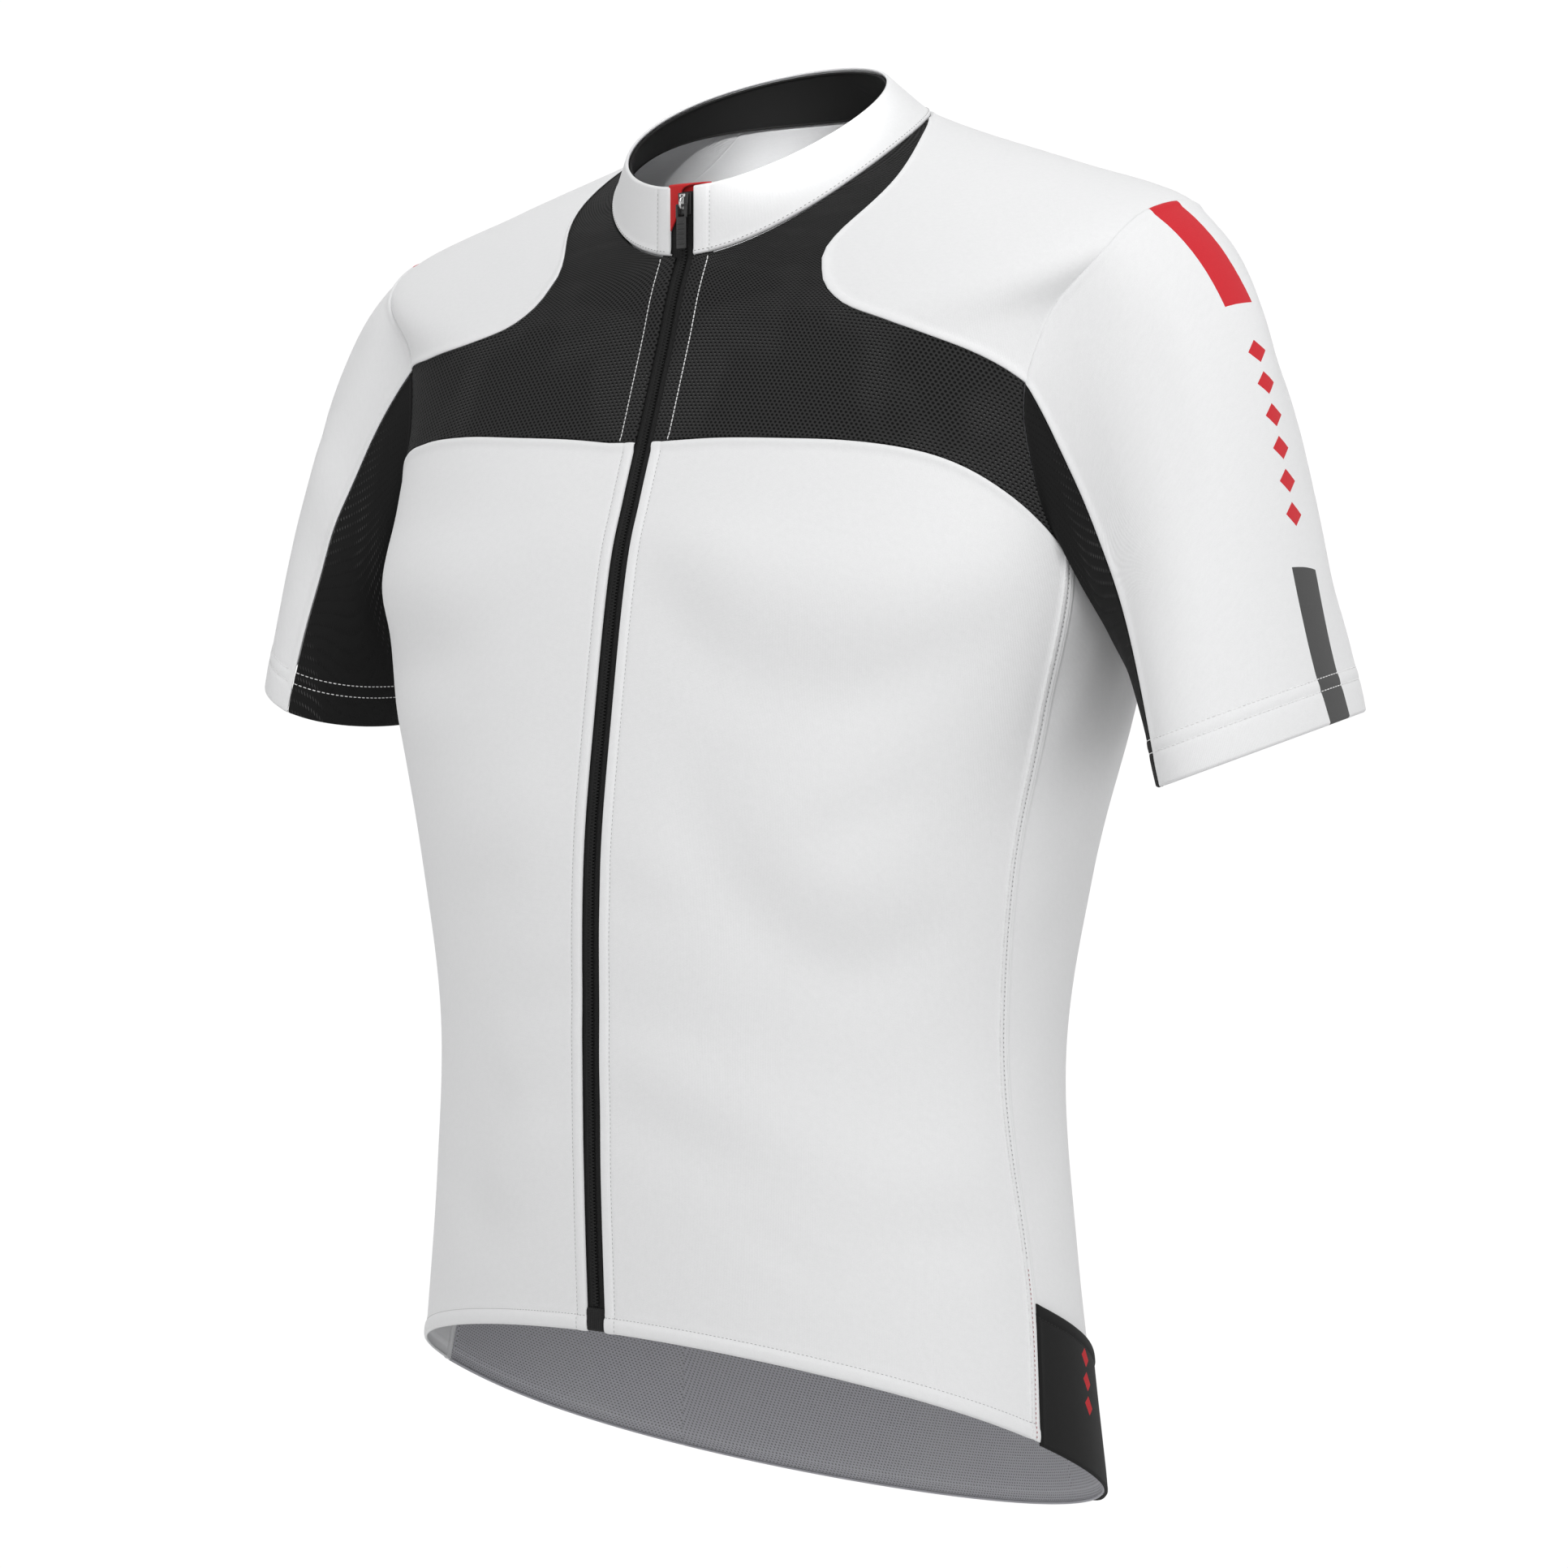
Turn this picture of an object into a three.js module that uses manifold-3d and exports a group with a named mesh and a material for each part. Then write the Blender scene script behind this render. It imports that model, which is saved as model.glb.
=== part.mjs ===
// A short-sleeved cycling jersey with a full front zip, filled out and worn by nobody.
// Millimetres. +X is the wearer's left, -Y the front, +Z up. The origin lies between the
// shoulders, level with the base of the neck, where a wearer carries the garment.
//
// The torso and the collar are one smooth surface through rings. A place on it is (t, v):
// t goes round in degrees (-90 centre front, 0 wearer's left, 90 centre back) and v counts
// rings upward from the hem. Each panel is a thin wall between four seam lines on that
// surface, and each sleeve is a loft from the armhole down to its cuff.

import * as THREE from "three";
import { mergeVertices } from "three/addons/utils/BufferGeometryUtils.js";
import Module from "manifold-3d";

const CLOTH = 1.2; // wall of a cloth panel
const SEAM_GAP = 0.3; // between two panels
const ZIP_HALF = 6.5; // half the open width between the two folded front edges
const NECK = 11; // v of the neck seam
const COLLAR_TOP = 12; // v of the collar's top edge

const table = (columns, rows) =>
  rows.map((row) => Object.fromEntries(columns.map((c, i) => [c, row[i]])));

// One row a ring: half width, front and back depth, heights at front, side and back, how
// steeply it tilts where it passes the side, how square its front and its back are (2 is an
// ellipse), and how late its back drops (2 evenly, 4 mostly at the middle).
const RINGS = table(
  [
    "half",
    "front",
    "back",
    "zFront",
    "zSide",
    "zBack",
    "tilt",
    "nFront",
    "nBack",
    "droop",
  ],
  [
    [179, -134, 104, -548, -603, -657, -57, 2.15, 2.0, 2.5], // hem
    [166, -137, 98, -480, -506, -534, -26, 2.15, 2.0, 2.2], // hip
    [160, -138, 96, -410, -420, -435, -12, 2.2, 2.0, 2], // waist
    [174, -137, 101, -335, -338, -345, -5, 2.3, 2.0, 2], // ribs
    [194, -129, 105, -268, -268, -270, -1, 2.5, 2.0, 2], // chest
    [206, -119, 105, -205, -218, -205, 0, 2.7, 2.0, 2], // armpit
    [201, -109, 104, -172, -165, -155, 8, 2.9, 2.1, 2], // lower armhole
    [197, -99, 102, -143, -115, -110, 16, 3.0, 2.1, 2], // middle of the armhole
    [205, -91, 97, -119, -78, -85, 17, 2.9, 2.1, 2], // upper armhole
    [225, -84, 89, -98, -46, -64, 17, 2.6, 2.0, 2], // shoulder tip
    [158, -78, 76, -78, -23, -26, 26, 2.3, 2.0, 2], // shoulder
    [81, -71, 58, -60, -5, 16, 38, 2.0, 2.0, 2], // base of the neck
    [66, -71, 36, -28, 9, 38, 33, 2.0, 2.0, 2], // collar's top edge
  ],
);

// Seam lines of the left half, as places on the surface.
const YOKE_LOWER = table(
  ["t", "v"],
  [
    [-86, 6.87],
    [-78, 6.86],
    [-68, 6.76],
    [-57, 6.6],
    [-46, 6.33],
    [-35, 5.89],
    [-23, 5.29],
  ],
);
const YOKE_UPPER = table(
  ["t", "v"],
  [
    [-33, 7.04],
    [-42, 7.56],
    [-51, 8.08],
    [-59, 8.57],
    [-64.5, 9.05],
    [-65, 9.5],
    [-62, 9.9],
    [-57, 10.25],
    [-46, 10.52],
    [-23, 10.75],
    [-2, 10.91],
    [19, 11],
  ],
);
const SIDE_SEAM = table(
  ["t", "v"],
  [
    [-11.6, 0],
    [-6.6, 0.75],
    [-7.8, 1.5],
    [-10, 2.2],
    [-14.6, 2.95],
    [-18.2, 3.8],
    [-20.9, 4.55],
    [-23, 5.29],
  ],
);
const BACK_SEAM = table(
  ["t", "v"],
  [
    [48, 0],
    [48, 1],
    [48, 2],
    [47, 3],
    [42, 4],
    [33, 4.8],
    [20, 5.45],
  ],
);
const SHOULDER_SEAM = table(
  ["t", "v"],
  [
    [16, 8.9],
    [27, 9.35],
    [38, 9.85],
    [46, 10.4],
    [48, 11],
  ],
);
// Armhole, a row every 30 degrees round it: 0 at the shoulder tip, 90 in front, 180 under the arm.
const ARMHOLE = table(
  ["t", "v"],
  [
    [0, 9.1],
    [-18, 9.1],
    [-29, 8.75],
    [-32, 7.8],
    [-32.5, 6.55],
    [-23.5, 5.34],
    [0, 4.98],
    [18, 5.35],
    [28, 6.4],
    [29, 7.5],
    [26, 8.4],
    [15, 8.95],
  ],
);
// Places round the armhole where seams run into it, and the number of wall steps between them.
const ARM_YOKE_TOP = 108;
const ARM_SIDE_FRONT = 152;
const ARM_SIDE_BACK = 213;
const ARM_SHOULDER = 332;
const STEPS = {
  yokeLower: 9,
  yokeArm: 3,
  yokeUpper: 11,
  body: 13,
  sideTop: 5,
  backArm: 6,
  shoulderTop: 8,
  backNeck: 7,
  sleeve: 9,
  collar: 32,
};

// The two sleeves: where each cuff's centre lies, how steeply the sleeve leaves the shoulder,
// how far it turns round its length, how much the armhole rides up on that side,
// and how the cuff's plane tilts: up towards its outer edge and down towards the front.
const SLEEVES = table(
  ["side", "sign", "x", "y", "z", "leave", "turn", "rise", "tiltOut", "tiltFront"],
  [
    ["left", 1, 271, -7, -284, 40, 19, 0, 18, 10],
    ["right", -1, 262, -7, -261, 50, -6, 1, 27, 6],
  ],
);
const CUFF = {
  outward: 36,
  foreAft: 66,
  axis: 14,
  reach: 0.9,
};
// How far the armhole rides up, in rings, at each place round the body.
const RISE = table(
  ["t", "v"],
  [
    [-90, 0],
    [-84, 0],
    [-60, 0.27],
    [-46, 0.4],
    [-33, 0.65],
    [-20, 0.5],
    [0, 0.42],
    [30, 0.4],
    [60, 0.15],
    [90, 0],
  ],
);

const COLOURS = {
  white: { color: 0xeef0f2, roughness: 0.8, metalness: 0 },
  mesh: { color: 0xd9dbde, roughness: 0.85, metalness: 0 },
  black: { color: 0x1c1c1e, roughness: 0.85, metalness: 0 },
  red: { color: 0xd0161f, roughness: 0.7, metalness: 0 },
  zip: { color: 0x141416, roughness: 0.5, metalness: 0 },
  metal: { color: 0x8a8c90, roughness: 0.35, metalness: 0.9 },
};

const rad = THREE.MathUtils.degToRad;
const deg = THREE.MathUtils.radToDeg;
const clamp = THREE.MathUtils.clamp;
const smooth = (lo, hi, x) => THREE.MathUtils.smoothstep(x, lo, hi);

const spline = (a, b, c, d, f) =>
  0.5 *
  (2 * b +
    (c - a) * f +
    (2 * a - 5 * b + 4 * c - d) * f * f +
    (3 * b - a - 3 * c + d) * f * f * f);

// A smooth value of every column of a table at row number u.
function along(rows, u, closed = false) {
  const last = rows.length - 1;
  const count = rows.length;
  const x = closed ? ((u % count) + count) % count : clamp(u, 0, last);
  const i = closed ? Math.floor(x) : Math.min(Math.floor(x), last - 1);
  const at = (k) => (closed ? rows[(k + count) % count] : rows[clamp(k, 0, last)]);
  const [a, b, c, d] = [at(i - 1), at(i), at(i + 1), at(i + 2)];
  const out = {};
  for (const key of Object.keys(b)) {
    const before = !closed && i === 0 ? 2 * b[key] - c[key] : a[key];
    const after = !closed && i === last - 1 ? 2 * c[key] - b[key] : d[key];
    out[key] = spline(before, b[key], c[key], after, x - i);
  }
  return out;
}

const TORSO = RINGS.slice(0, NECK + 1);
function ringAt(v) {
  if (v <= NECK) return along(TORSO, v);
  const out = {};
  for (const key of Object.keys(RINGS[0]))
    out[key] = THREE.MathUtils.lerp(RINGS[NECK][key], RINGS[COLLAR_TOP][key], v - NECK);
  return out;
}

function surface(t, v) {
  const r = ringAt(v);
  const c = Math.cos(rad(t));
  const s = Math.sin(rad(t));
  const n = s < 0 ? r.nFront : r.nBack;
  const reach = (Math.abs(c) ** n + Math.abs(s) ** n) ** (-1 / n);
  const rest =
    s < 0
      ? (r.zFront - r.zSide + r.tilt) * s * s
      : (r.zBack - r.zSide - r.tilt) * s ** r.droop;
  return new THREE.Vector3(
    r.half * reach * c,
    (r.front + r.back) / 2 + ((r.back - r.front) / 2) * reach * s,
    r.zSide + r.tilt * s + rest,
  );
}

function normalOf(f, a, b, da, db) {
  const u = f(a + da, b).sub(f(a - da, b));
  const w = f(a, b + db).sub(f(a, b - db));
  return u.cross(w).normalize();
}

// Normal of the body surface, taken just below a seam ring or just above it.
function bodyNormal(t, v) {
  const step = 0.02;
  const mid = v > NECK ? clamp(v, NECK + step, COLLAR_TOP) : clamp(v, 0, NECK - step);
  return normalOf(surface, t, mid, 0.2, step);
}

// The t of a place on the front at the distance x from the centre line.
function frontT(x, v) {
  const r = ringAt(v);
  const q = Math.abs(x) / r.half;
  const t = -deg(Math.atan((q ** -r.nFront - 1) ** (1 / r.nFront)));
  return x < 0 ? -180 - t : t;
}

// The rows of (t, v) along a seam line at even steps.
const sample = (rows, steps) =>
  Array.from({ length: steps + 1 }, (_, i) => along(rows, (i * (rows.length - 1)) / steps));

const armhole = (phi) => along(ARMHOLE, phi / 30, true);
const armSteps = (from, to, steps) =>
  Array.from({ length: steps + 1 }, (_, i) => armhole(from + ((to - from) * i) / steps));

// One side's place: the armhole of a side that rides up takes the panels round it along.
function ride(place, rise) {
  const t = clamp(place.t, -90, 90);
  const band = smooth(3.4, 5.0, place.v) * (1 - smooth(7.0, 9.3, place.v));
  const i = RISE.findIndex((row, k) => k > 0 && t <= row.t);
  const a = RISE[i - 1];
  const b = RISE[i];
  const lift = a.v + ((b.v - a.v) * (t - a.t)) / (b.t - a.t);
  return { t: place.t, v: place.v + rise * lift * band };
}

// A grid of places between four seam lines: bottom and top run along u, start and end along w.
function patch({ bottom, top, start, end }) {
  const nu = bottom.length - 1;
  const nw = start.length - 1;
  const grid = [];
  for (let j = 0; j <= nw; j++) {
    const w = j / nw;
    const row = [];
    for (let i = 0; i <= nu; i++) {
      const u = i / nu;
      const mix = (key) =>
        (1 - w) * bottom[i][key] +
        w * top[i][key] +
        (1 - u) * start[j][key] +
        u * end[j][key] -
        (1 - w) * ((1 - u) * bottom[0][key] + u * bottom[nu][key]) -
        w * ((1 - u) * top[0][key] + u * top[nu][key]);
      row.push({ t: mix("t"), v: mix("v") });
    }
    grid.push(row);
  }
  return relax(grid);
}

// Evens a grid's inner places out, so that its rows and columns don't cross where the seam
// lines bend: each inner place settles between its neighbours (Winslow smoothing).
const PER_DEGREE = 3.2; // mm on the body, roughly
const PER_RING = 34;
function relax(grid, rounds = 60) {
  const nw = grid.length - 1;
  const nu = grid[0].length - 1;
  const p = grid.map((row) => row.map((g) => [g.t * PER_DEGREE, g.v * PER_RING]));
  const dot = (a, b) => a[0] * b[0] + a[1] * b[1];
  const diff = (a, b) => [(a[0] - b[0]) / 2, (a[1] - b[1]) / 2];
  for (let round = 0; round < rounds; round++)
    for (let j = 1; j < nw; j++)
      for (let i = 1; i < nu; i++) {
        const du = diff(p[j][i + 1], p[j][i - 1]);
        const dw = diff(p[j + 1][i], p[j - 1][i]);
        const [a, b, c] = [dot(dw, dw), dot(du, dw), dot(du, du)];
        p[j][i] = [0, 1].map(
          (k) =>
            (a * (p[j][i + 1][k] + p[j][i - 1][k]) +
              c * (p[j + 1][i][k] + p[j - 1][i][k]) -
              (b / 2) *
                (p[j + 1][i + 1][k] -
                  p[j + 1][i - 1][k] -
                  p[j - 1][i + 1][k] +
                  p[j - 1][i - 1][k])) /
            (2 * (a + c)),
        );
      }
  return p.map((row) => row.map(([x, y]) => ({ t: x / PER_DEGREE, v: y / PER_RING })));
}

// Draws the border of a grid of points in by a distance, so that neighbours stay apart.
function drawIn(points, distance) {
  const nw = points.length - 1;
  const nu = points[0].length - 1;
  const move = (j, i, dj, di) => {
    const p = points[j][i];
    const inward = points[j + dj][i + di].clone().sub(p);
    const a = points[dj ? j : Math.max(j - 1, 0)][di ? i : Math.max(i - 1, 0)];
    const b = points[dj ? j : Math.min(j + 1, nw)][di ? i : Math.min(i + 1, nu)];
    const tangent = b.clone().sub(a).normalize();
    inward.addScaledVector(tangent, -inward.dot(tangent)).normalize();
    return inward.multiplyScalar(distance);
  };
  const shifts = [];
  for (let i = 0; i <= nu; i++)
    shifts.push([0, i, move(0, i, 1, 0)], [nw, i, move(nw, i, -1, 0)]);
  for (let j = 0; j <= nw; j++)
    shifts.push([j, 0, move(j, 0, 0, 1)], [j, nu, move(j, nu, 0, -1)]);
  for (const [j, i, shift] of shifts) points[j][i].add(shift);
  return points;
}

// A closed wall between a grid of outer points and a grid of inner points.
function wall(outer, inner, flip = false) {
  const nw = outer.length - 1;
  const nu = outer[0].length - 1;
  const size = (nu + 1) * (nw + 1);
  const at = (j, i) => j * (nu + 1) + i;
  const faces = [];
  const quad = (a, b, c, d) => faces.push([a, b, c], [a, c, d]);
  for (let j = 0; j < nw; j++)
    for (let i = 0; i < nu; i++) {
      const [a, b, c, d] = [at(j, i), at(j, i + 1), at(j + 1, i + 1), at(j + 1, i)];
      quad(a, b, c, d);
      quad(size + a, size + d, size + c, size + b);
    }
  for (let i = 0; i < nu; i++) {
    quad(at(0, i + 1), at(0, i), size + at(0, i), size + at(0, i + 1));
    quad(at(nw, i), at(nw, i + 1), size + at(nw, i + 1), size + at(nw, i));
  }
  for (let j = 0; j < nw; j++) {
    quad(at(j, 0), at(j + 1, 0), size + at(j + 1, 0), size + at(j, 0));
    quad(at(j + 1, nu), at(j, nu), size + at(j, nu), size + at(j + 1, nu));
  }
  const position = [...outer.flat(), ...inner.flat()].flatMap((p) => p.toArray());
  const geometry = new THREE.BufferGeometry();
  geometry.setAttribute("position", new THREE.Float32BufferAttribute(position, 3));
  geometry.setIndex(faces.flatMap(([a, b, c]) => (flip ? [a, c, b] : [a, b, c])));
  geometry.computeVertexNormals();
  return geometry;
}

const mirrored = (points, sign) =>
  points.map((row) => row.map((p) => new THREE.Vector3(sign * p.x, p.y, p.z)));

// A cloth panel on the body: its outer face moved out by `out`, its wall `thick`.
function bodyPanel(
  grid,
  { sign = 1, flip = false, out = () => 0, thick = CLOTH, gap = SEAM_GAP } = {},
) {
  const normals = grid.map((row) => row.map((g) => bodyNormal(g.t, g.v)));
  const base = grid.map((row) => row.map((g) => surface(g.t, g.v)));
  const skin = gap ? drawIn(base, gap / 2) : base;
  const outer = skin.map((row, j) =>
    row.map((p, i) => p.clone().addScaledVector(normals[j][i], out(grid[j][i], i, j))),
  );
  const inner = outer.map((row, j) =>
    row.map((p, i) => p.clone().addScaledVector(normals[j][i], -thick)),
  );
  return wall(mirrored(outer, sign), mirrored(inner, sign), flip !== sign < 0);
}

const group = new THREE.Group();
group.name = "cycling_jersey";
const materials = Object.fromEntries(
  Object.entries(COLOURS).map(([name, look]) => [name, new THREE.MeshStandardMaterial(look)]),
);
function add(name, geometry, material) {
  const mesh = new THREE.Mesh(geometry, materials[material]);
  mesh.name = name;
  group.add(mesh);
  return mesh;
}

// ---- seam lines of one side, all in that side's own places ----
function seams(rise) {
  const lift = (rows) => rows.map((row) => ride(row, rise));
  const centre = (from, to, steps) =>
    Array.from({ length: steps + 1 }, (_, i) => {
      const v = from + ((to - from) * i) / steps;
      return { t: frontT(ZIP_HALF, v), v };
    });
  const lower = sample(YOKE_LOWER, STEPS.yokeLower);
  lower[0] = { t: frontT(ZIP_HALF, YOKE_LOWER[0].v), v: YOKE_LOWER[0].v };
  const end = armhole(ARM_SIDE_FRONT);
  lower[STEPS.yokeLower] = end;
  const upper = sample(YOKE_UPPER, STEPS.yokeUpper);
  upper[0] = armhole(ARM_YOKE_TOP);
  const side = sample(SIDE_SEAM, STEPS.body);
  side[STEPS.body] = end;
  const back = sample(BACK_SEAM, STEPS.body);
  back[STEPS.body] = armhole(ARM_SIDE_BACK);
  const shoulder = sample(SHOULDER_SEAM, STEPS.yokeUpper);
  shoulder[0] = armhole(ARM_SHOULDER);
  return {
    centreFront: centre(0, YOKE_LOWER[0].v, STEPS.body),
    centreYoke: centre(YOKE_LOWER[0].v, NECK, STEPS.yokeArm + STEPS.yokeUpper),
    lower: lift(lower),
    upper: lift(upper),
    side: lift(side),
    back: lift(back),
    shoulder: lift(shoulder),
    armYoke: lift(armSteps(ARM_SIDE_FRONT, ARM_YOKE_TOP, STEPS.yokeArm)),
    armSide: lift(armSteps(ARM_SIDE_FRONT, ARM_SIDE_BACK, STEPS.sideTop)),
    armBack: lift(armSteps(ARM_SIDE_BACK, ARM_SHOULDER, STEPS.backArm)),
    armTop: lift(armSteps(ARM_YOKE_TOP, ARM_SHOULDER - 360, STEPS.shoulderTop)),
  };
}

const line = (from, to, steps) =>
  Array.from({ length: steps + 1 }, (_, i) => ({
    t: from.t + ((to.t - from.t) * i) / steps,
    v: from.v + ((to.v - from.v) * i) / steps,
  }));

const first = (rows) => rows[0];
const last = (rows) => rows[rows.length - 1];

// ---- panels of the body ----
const sideSeams = {};
for (const { side, sign, rise } of SLEEVES) {
  const s = seams(rise);
  sideSeams[side] = s;

  add(
    `front_${side}`,
    bodyPanel(
      patch({
        bottom: line(first(s.centreFront), first(s.side), STEPS.yokeLower),
        top: s.lower,
        start: s.centreFront,
        end: s.side,
      }),
      { sign },
    ),
    "white",
  );

  add(
    `yoke_${side}`,
    bodyPanel(
      patch({
        bottom: s.lower,
        top: line(last(s.centreYoke), last(s.upper), STEPS.yokeLower),
        start: s.centreYoke,
        end: [...s.armYoke, ...s.upper.slice(1)],
      }),
      { sign },
    ),
    "black",
  );

  add(
    `shoulder_${side}`,
    bodyPanel(
      patch({
        bottom: s.upper,
        top: s.shoulder,
        start: s.armTop,
        end: line(last(s.upper), last(s.shoulder), STEPS.shoulderTop),
      }),
      { sign, flip: true },
    ),
    "white",
  );

  add(
    `side_${side}`,
    bodyPanel(
      patch({
        bottom: line(first(s.side), first(s.back), STEPS.sideTop),
        top: s.armSide,
        start: s.side,
        end: s.back,
      }),
      { sign },
    ),
    "white",
  );
}

// The back runs from the left seams to the right ones, which are mirrored round the body.
const across = (rows) => rows.map(({ t, v }) => ({ t: 180 - t, v }));
{
  const { left, right } = sideSeams;
  const start = [...left.back, ...left.armBack.slice(1)];
  const end = across([...right.back, ...right.armBack.slice(1)]);
  const neck = line(last(left.shoulder), last(across(right.shoulder)), STEPS.backNeck);
  const top = [
    ...left.shoulder,
    ...neck.slice(1, -1),
    ...across(right.shoulder).reverse(),
  ];
  const bottom = line(first(start), first(end), top.length - 1);
  add("back", bodyPanel(patch({ bottom, top, start, end })), "mesh");
}

// ---- rear pocket: one band over the back and both sides, open along its top ----
const POCKET = { out: 0.35, sideSwell: 2.5, backSwell: 9, steps: 36, rows: 4 };
const POCKET_TOP = table(
  ["t", "v"],
  [
    [-6.6, 0.69],
    [12, 0.62],
    [28, 0.56],
    [44, 0.55],
    [64, 0.65],
    [90, 0.77],
  ],
);
{
  const half = POCKET.steps / 2;
  const top = sample(POCKET_TOP, half);
  const seam = sideSeams.left.side;
  const place = (i, w) => {
    const k = i <= half ? i : POCKET.steps - i;
    const foot = first(seam).t + ((90 - first(seam).t) * k) / half;
    const g = { t: THREE.MathUtils.lerp(foot, top[k].t, w), v: top[k].v * w };
    return i <= half ? g : { t: 180 - g.t, v: g.v };
  };
  const grid = Array.from({ length: POCKET.rows + 1 }, (_, j) =>
    Array.from({ length: POCKET.steps + 1 }, (_, i) => place(i, j / POCKET.rows)),
  );
  // Three pockets: the band swells between its ends and its two rows of stitching.
  const out = (_, i, j) => {
    const bag = Math.sin((3 * Math.PI * i) / POCKET.steps); // negative across the middle bag
    const swell = bag > 0 ? POCKET.sideSwell * bag : -POCKET.backSwell * bag;
    return POCKET.out + CLOTH + swell * (j / POCKET.rows) ** 1.4;
  };
  add("pocket", bodyPanel(grid, { out, gap: 0 }), "black");
}

// ---- sleeves ----
const armPhis = {
  insert: [
    ...Array.from(
      { length: STEPS.yokeArm },
      (_, i) => ARM_YOKE_TOP + ((ARM_SIDE_FRONT - ARM_YOKE_TOP) * i) / STEPS.yokeArm,
    ),
    ...Array.from(
      { length: STEPS.sideTop + 1 },
      (_, i) => ARM_SIDE_FRONT + ((ARM_SIDE_BACK - ARM_SIDE_FRONT) * i) / STEPS.sideTop,
    ),
  ],
  sleeve: [
    ...Array.from(
      { length: STEPS.backArm },
      (_, i) => ARM_SIDE_BACK + ((ARM_SHOULDER - ARM_SIDE_BACK) * i) / STEPS.backArm,
    ),
    ...Array.from(
      { length: STEPS.shoulderTop + 1 },
      (_, i) => ARM_SHOULDER + ((ARM_YOKE_TOP + 360 - ARM_SHOULDER) * i) / STEPS.shoulderTop,
    ),
  ],
};

function sleeveSurface(spec) {
  const centre = new THREE.Vector3(spec.x, spec.y, spec.z);
  const outward = new THREE.Vector3(Math.cos(rad(spec.tiltOut)), 0, Math.sin(rad(spec.tiltOut)));
  const forward = new THREE.Vector3(
    0,
    -Math.cos(rad(spec.tiltFront)),
    -Math.sin(rad(spec.tiltFront)),
  );
  const heading = (angle) => new THREE.Vector3(Math.sin(rad(angle)), 0, -Math.cos(rad(angle)));
  return (phi, s) => {
    const g = ride(armhole(phi), spec.rise);
    const from = surface(g.t, g.v);
    const turned = rad(phi + spec.turn);
    const to = centre
      .clone()
      .addScaledVector(outward, CUFF.outward * Math.cos(turned))
      .addScaledVector(forward, CUFF.foreAft * Math.sin(turned));
    const pull = CUFF.reach * from.distanceTo(to);
    const leave = heading(spec.leave + 12 * Math.cos(rad(phi)));
    return from
      .multiplyScalar(2 * s ** 3 - 3 * s ** 2 + 1)
      .addScaledVector(leave, pull * (s ** 3 - 2 * s ** 2 + s))
      .addScaledVector(to, 3 * s ** 2 - 2 * s ** 3)
      .addScaledVector(heading(CUFF.axis), pull * (s ** 3 - s ** 2));
  };
}

function sleevePanel(spec, phis) {
  const shape = sleeveSurface(spec);
  const grid = Array.from({ length: STEPS.sleeve + 1 }, () => []);
  const normals = Array.from({ length: STEPS.sleeve + 1 }, () => []);
  for (const phi of phis) {
    const g = ride(armhole(phi), spec.rise);
    const bodyOut = bodyNormal(g.t, g.v);
    const sleeveOut = normalOf(shape, phi, 0.02, 0.5, 0.02);
    const away = shape(phi, 0.02).sub(shape(phi, 0));
    const turn = away.dot(bodyOut) < 0 ? bodyOut.angleTo(sleeveOut) : 0;
    const clear = SEAM_GAP / 2 + 2 * CLOTH * Math.sin(turn / 2);
    const s0 = (0.02 * clear) / away.length();
    for (let j = 0; j <= STEPS.sleeve; j++) {
      const s = s0 + ((1 - s0) * j) / STEPS.sleeve;
      grid[j].push(shape(phi, s));
      normals[j].push(normalOf(shape, phi, clamp(s, 0.02, 0.98), 0.5, 0.02));
    }
  }
  drawIn(grid, SEAM_GAP / 2);
  const inner = grid.map((row, j) =>
    row.map((p, i) => p.clone().addScaledVector(normals[j][i], -CLOTH)),
  );
  return wall(mirrored(grid, spec.sign), mirrored(inner, spec.sign), spec.sign < 0);
}

for (const spec of SLEEVES) {
  add(`sleeve_${spec.side}`, sleevePanel(spec, armPhis.sleeve), "white");
  add(`insert_${spec.side}`, sleevePanel(spec, armPhis.insert), "black");
}

// ---- collar and the facing inside it ----
const FACING = { out: -1.9, thick: 1.0, half: 16, foot: 0.06, top: 0.97 };
function band(half, low, high, steps, rows) {
  return Array.from({ length: rows + 1 }, (_, j) => {
    const v = NECK + low + ((high - low) * j) / rows;
    const t = frontT(half, Math.min(v, COLLAR_TOP));
    return Array.from({ length: steps + 1 }, (_, i) => ({
      t: t + ((180 - 2 * t) * i) / steps,
      v,
    }));
  });
}
add(
  "collar",
  bodyPanel(band(ZIP_HALF, 0.018, 1, STEPS.collar, 2), { gap: 0 }),
  "white",
);
add(
  "collar_facing",
  bodyPanel(band(FACING.half, FACING.foot, FACING.top, STEPS.collar, 2), {
    gap: 0,
    out: () => FACING.out,
    thick: FACING.thick,
  }),
  "black",
);

// ---- zip: tapes behind the front edges, teeth down the middle, a stop at the hem ----
const ZIP = {
  tapeIn: 2.3,
  tapeOut: 15,
  tapeTop: 0.93,
  tapeGap: 0.5, // behind the front edges
  chainHalf: 1.9,
  stopTop: 0.16,
};
const SLIDER = {
  x: 0.6, // sits beside the guard
  half: 3,
  low: -41,
  high: -31,
  back: -1.2,
  front: 1.6,
  bailHalf: 1,
  bailReach: 3.2,
  bailBar: 1.2,
  bailFront: 4.4,
};
const frontV = (z) => NECK + (z - RINGS[NECK].zFront) / (RINGS[COLLAR_TOP].zFront - RINGS[NECK].zFront);

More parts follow.
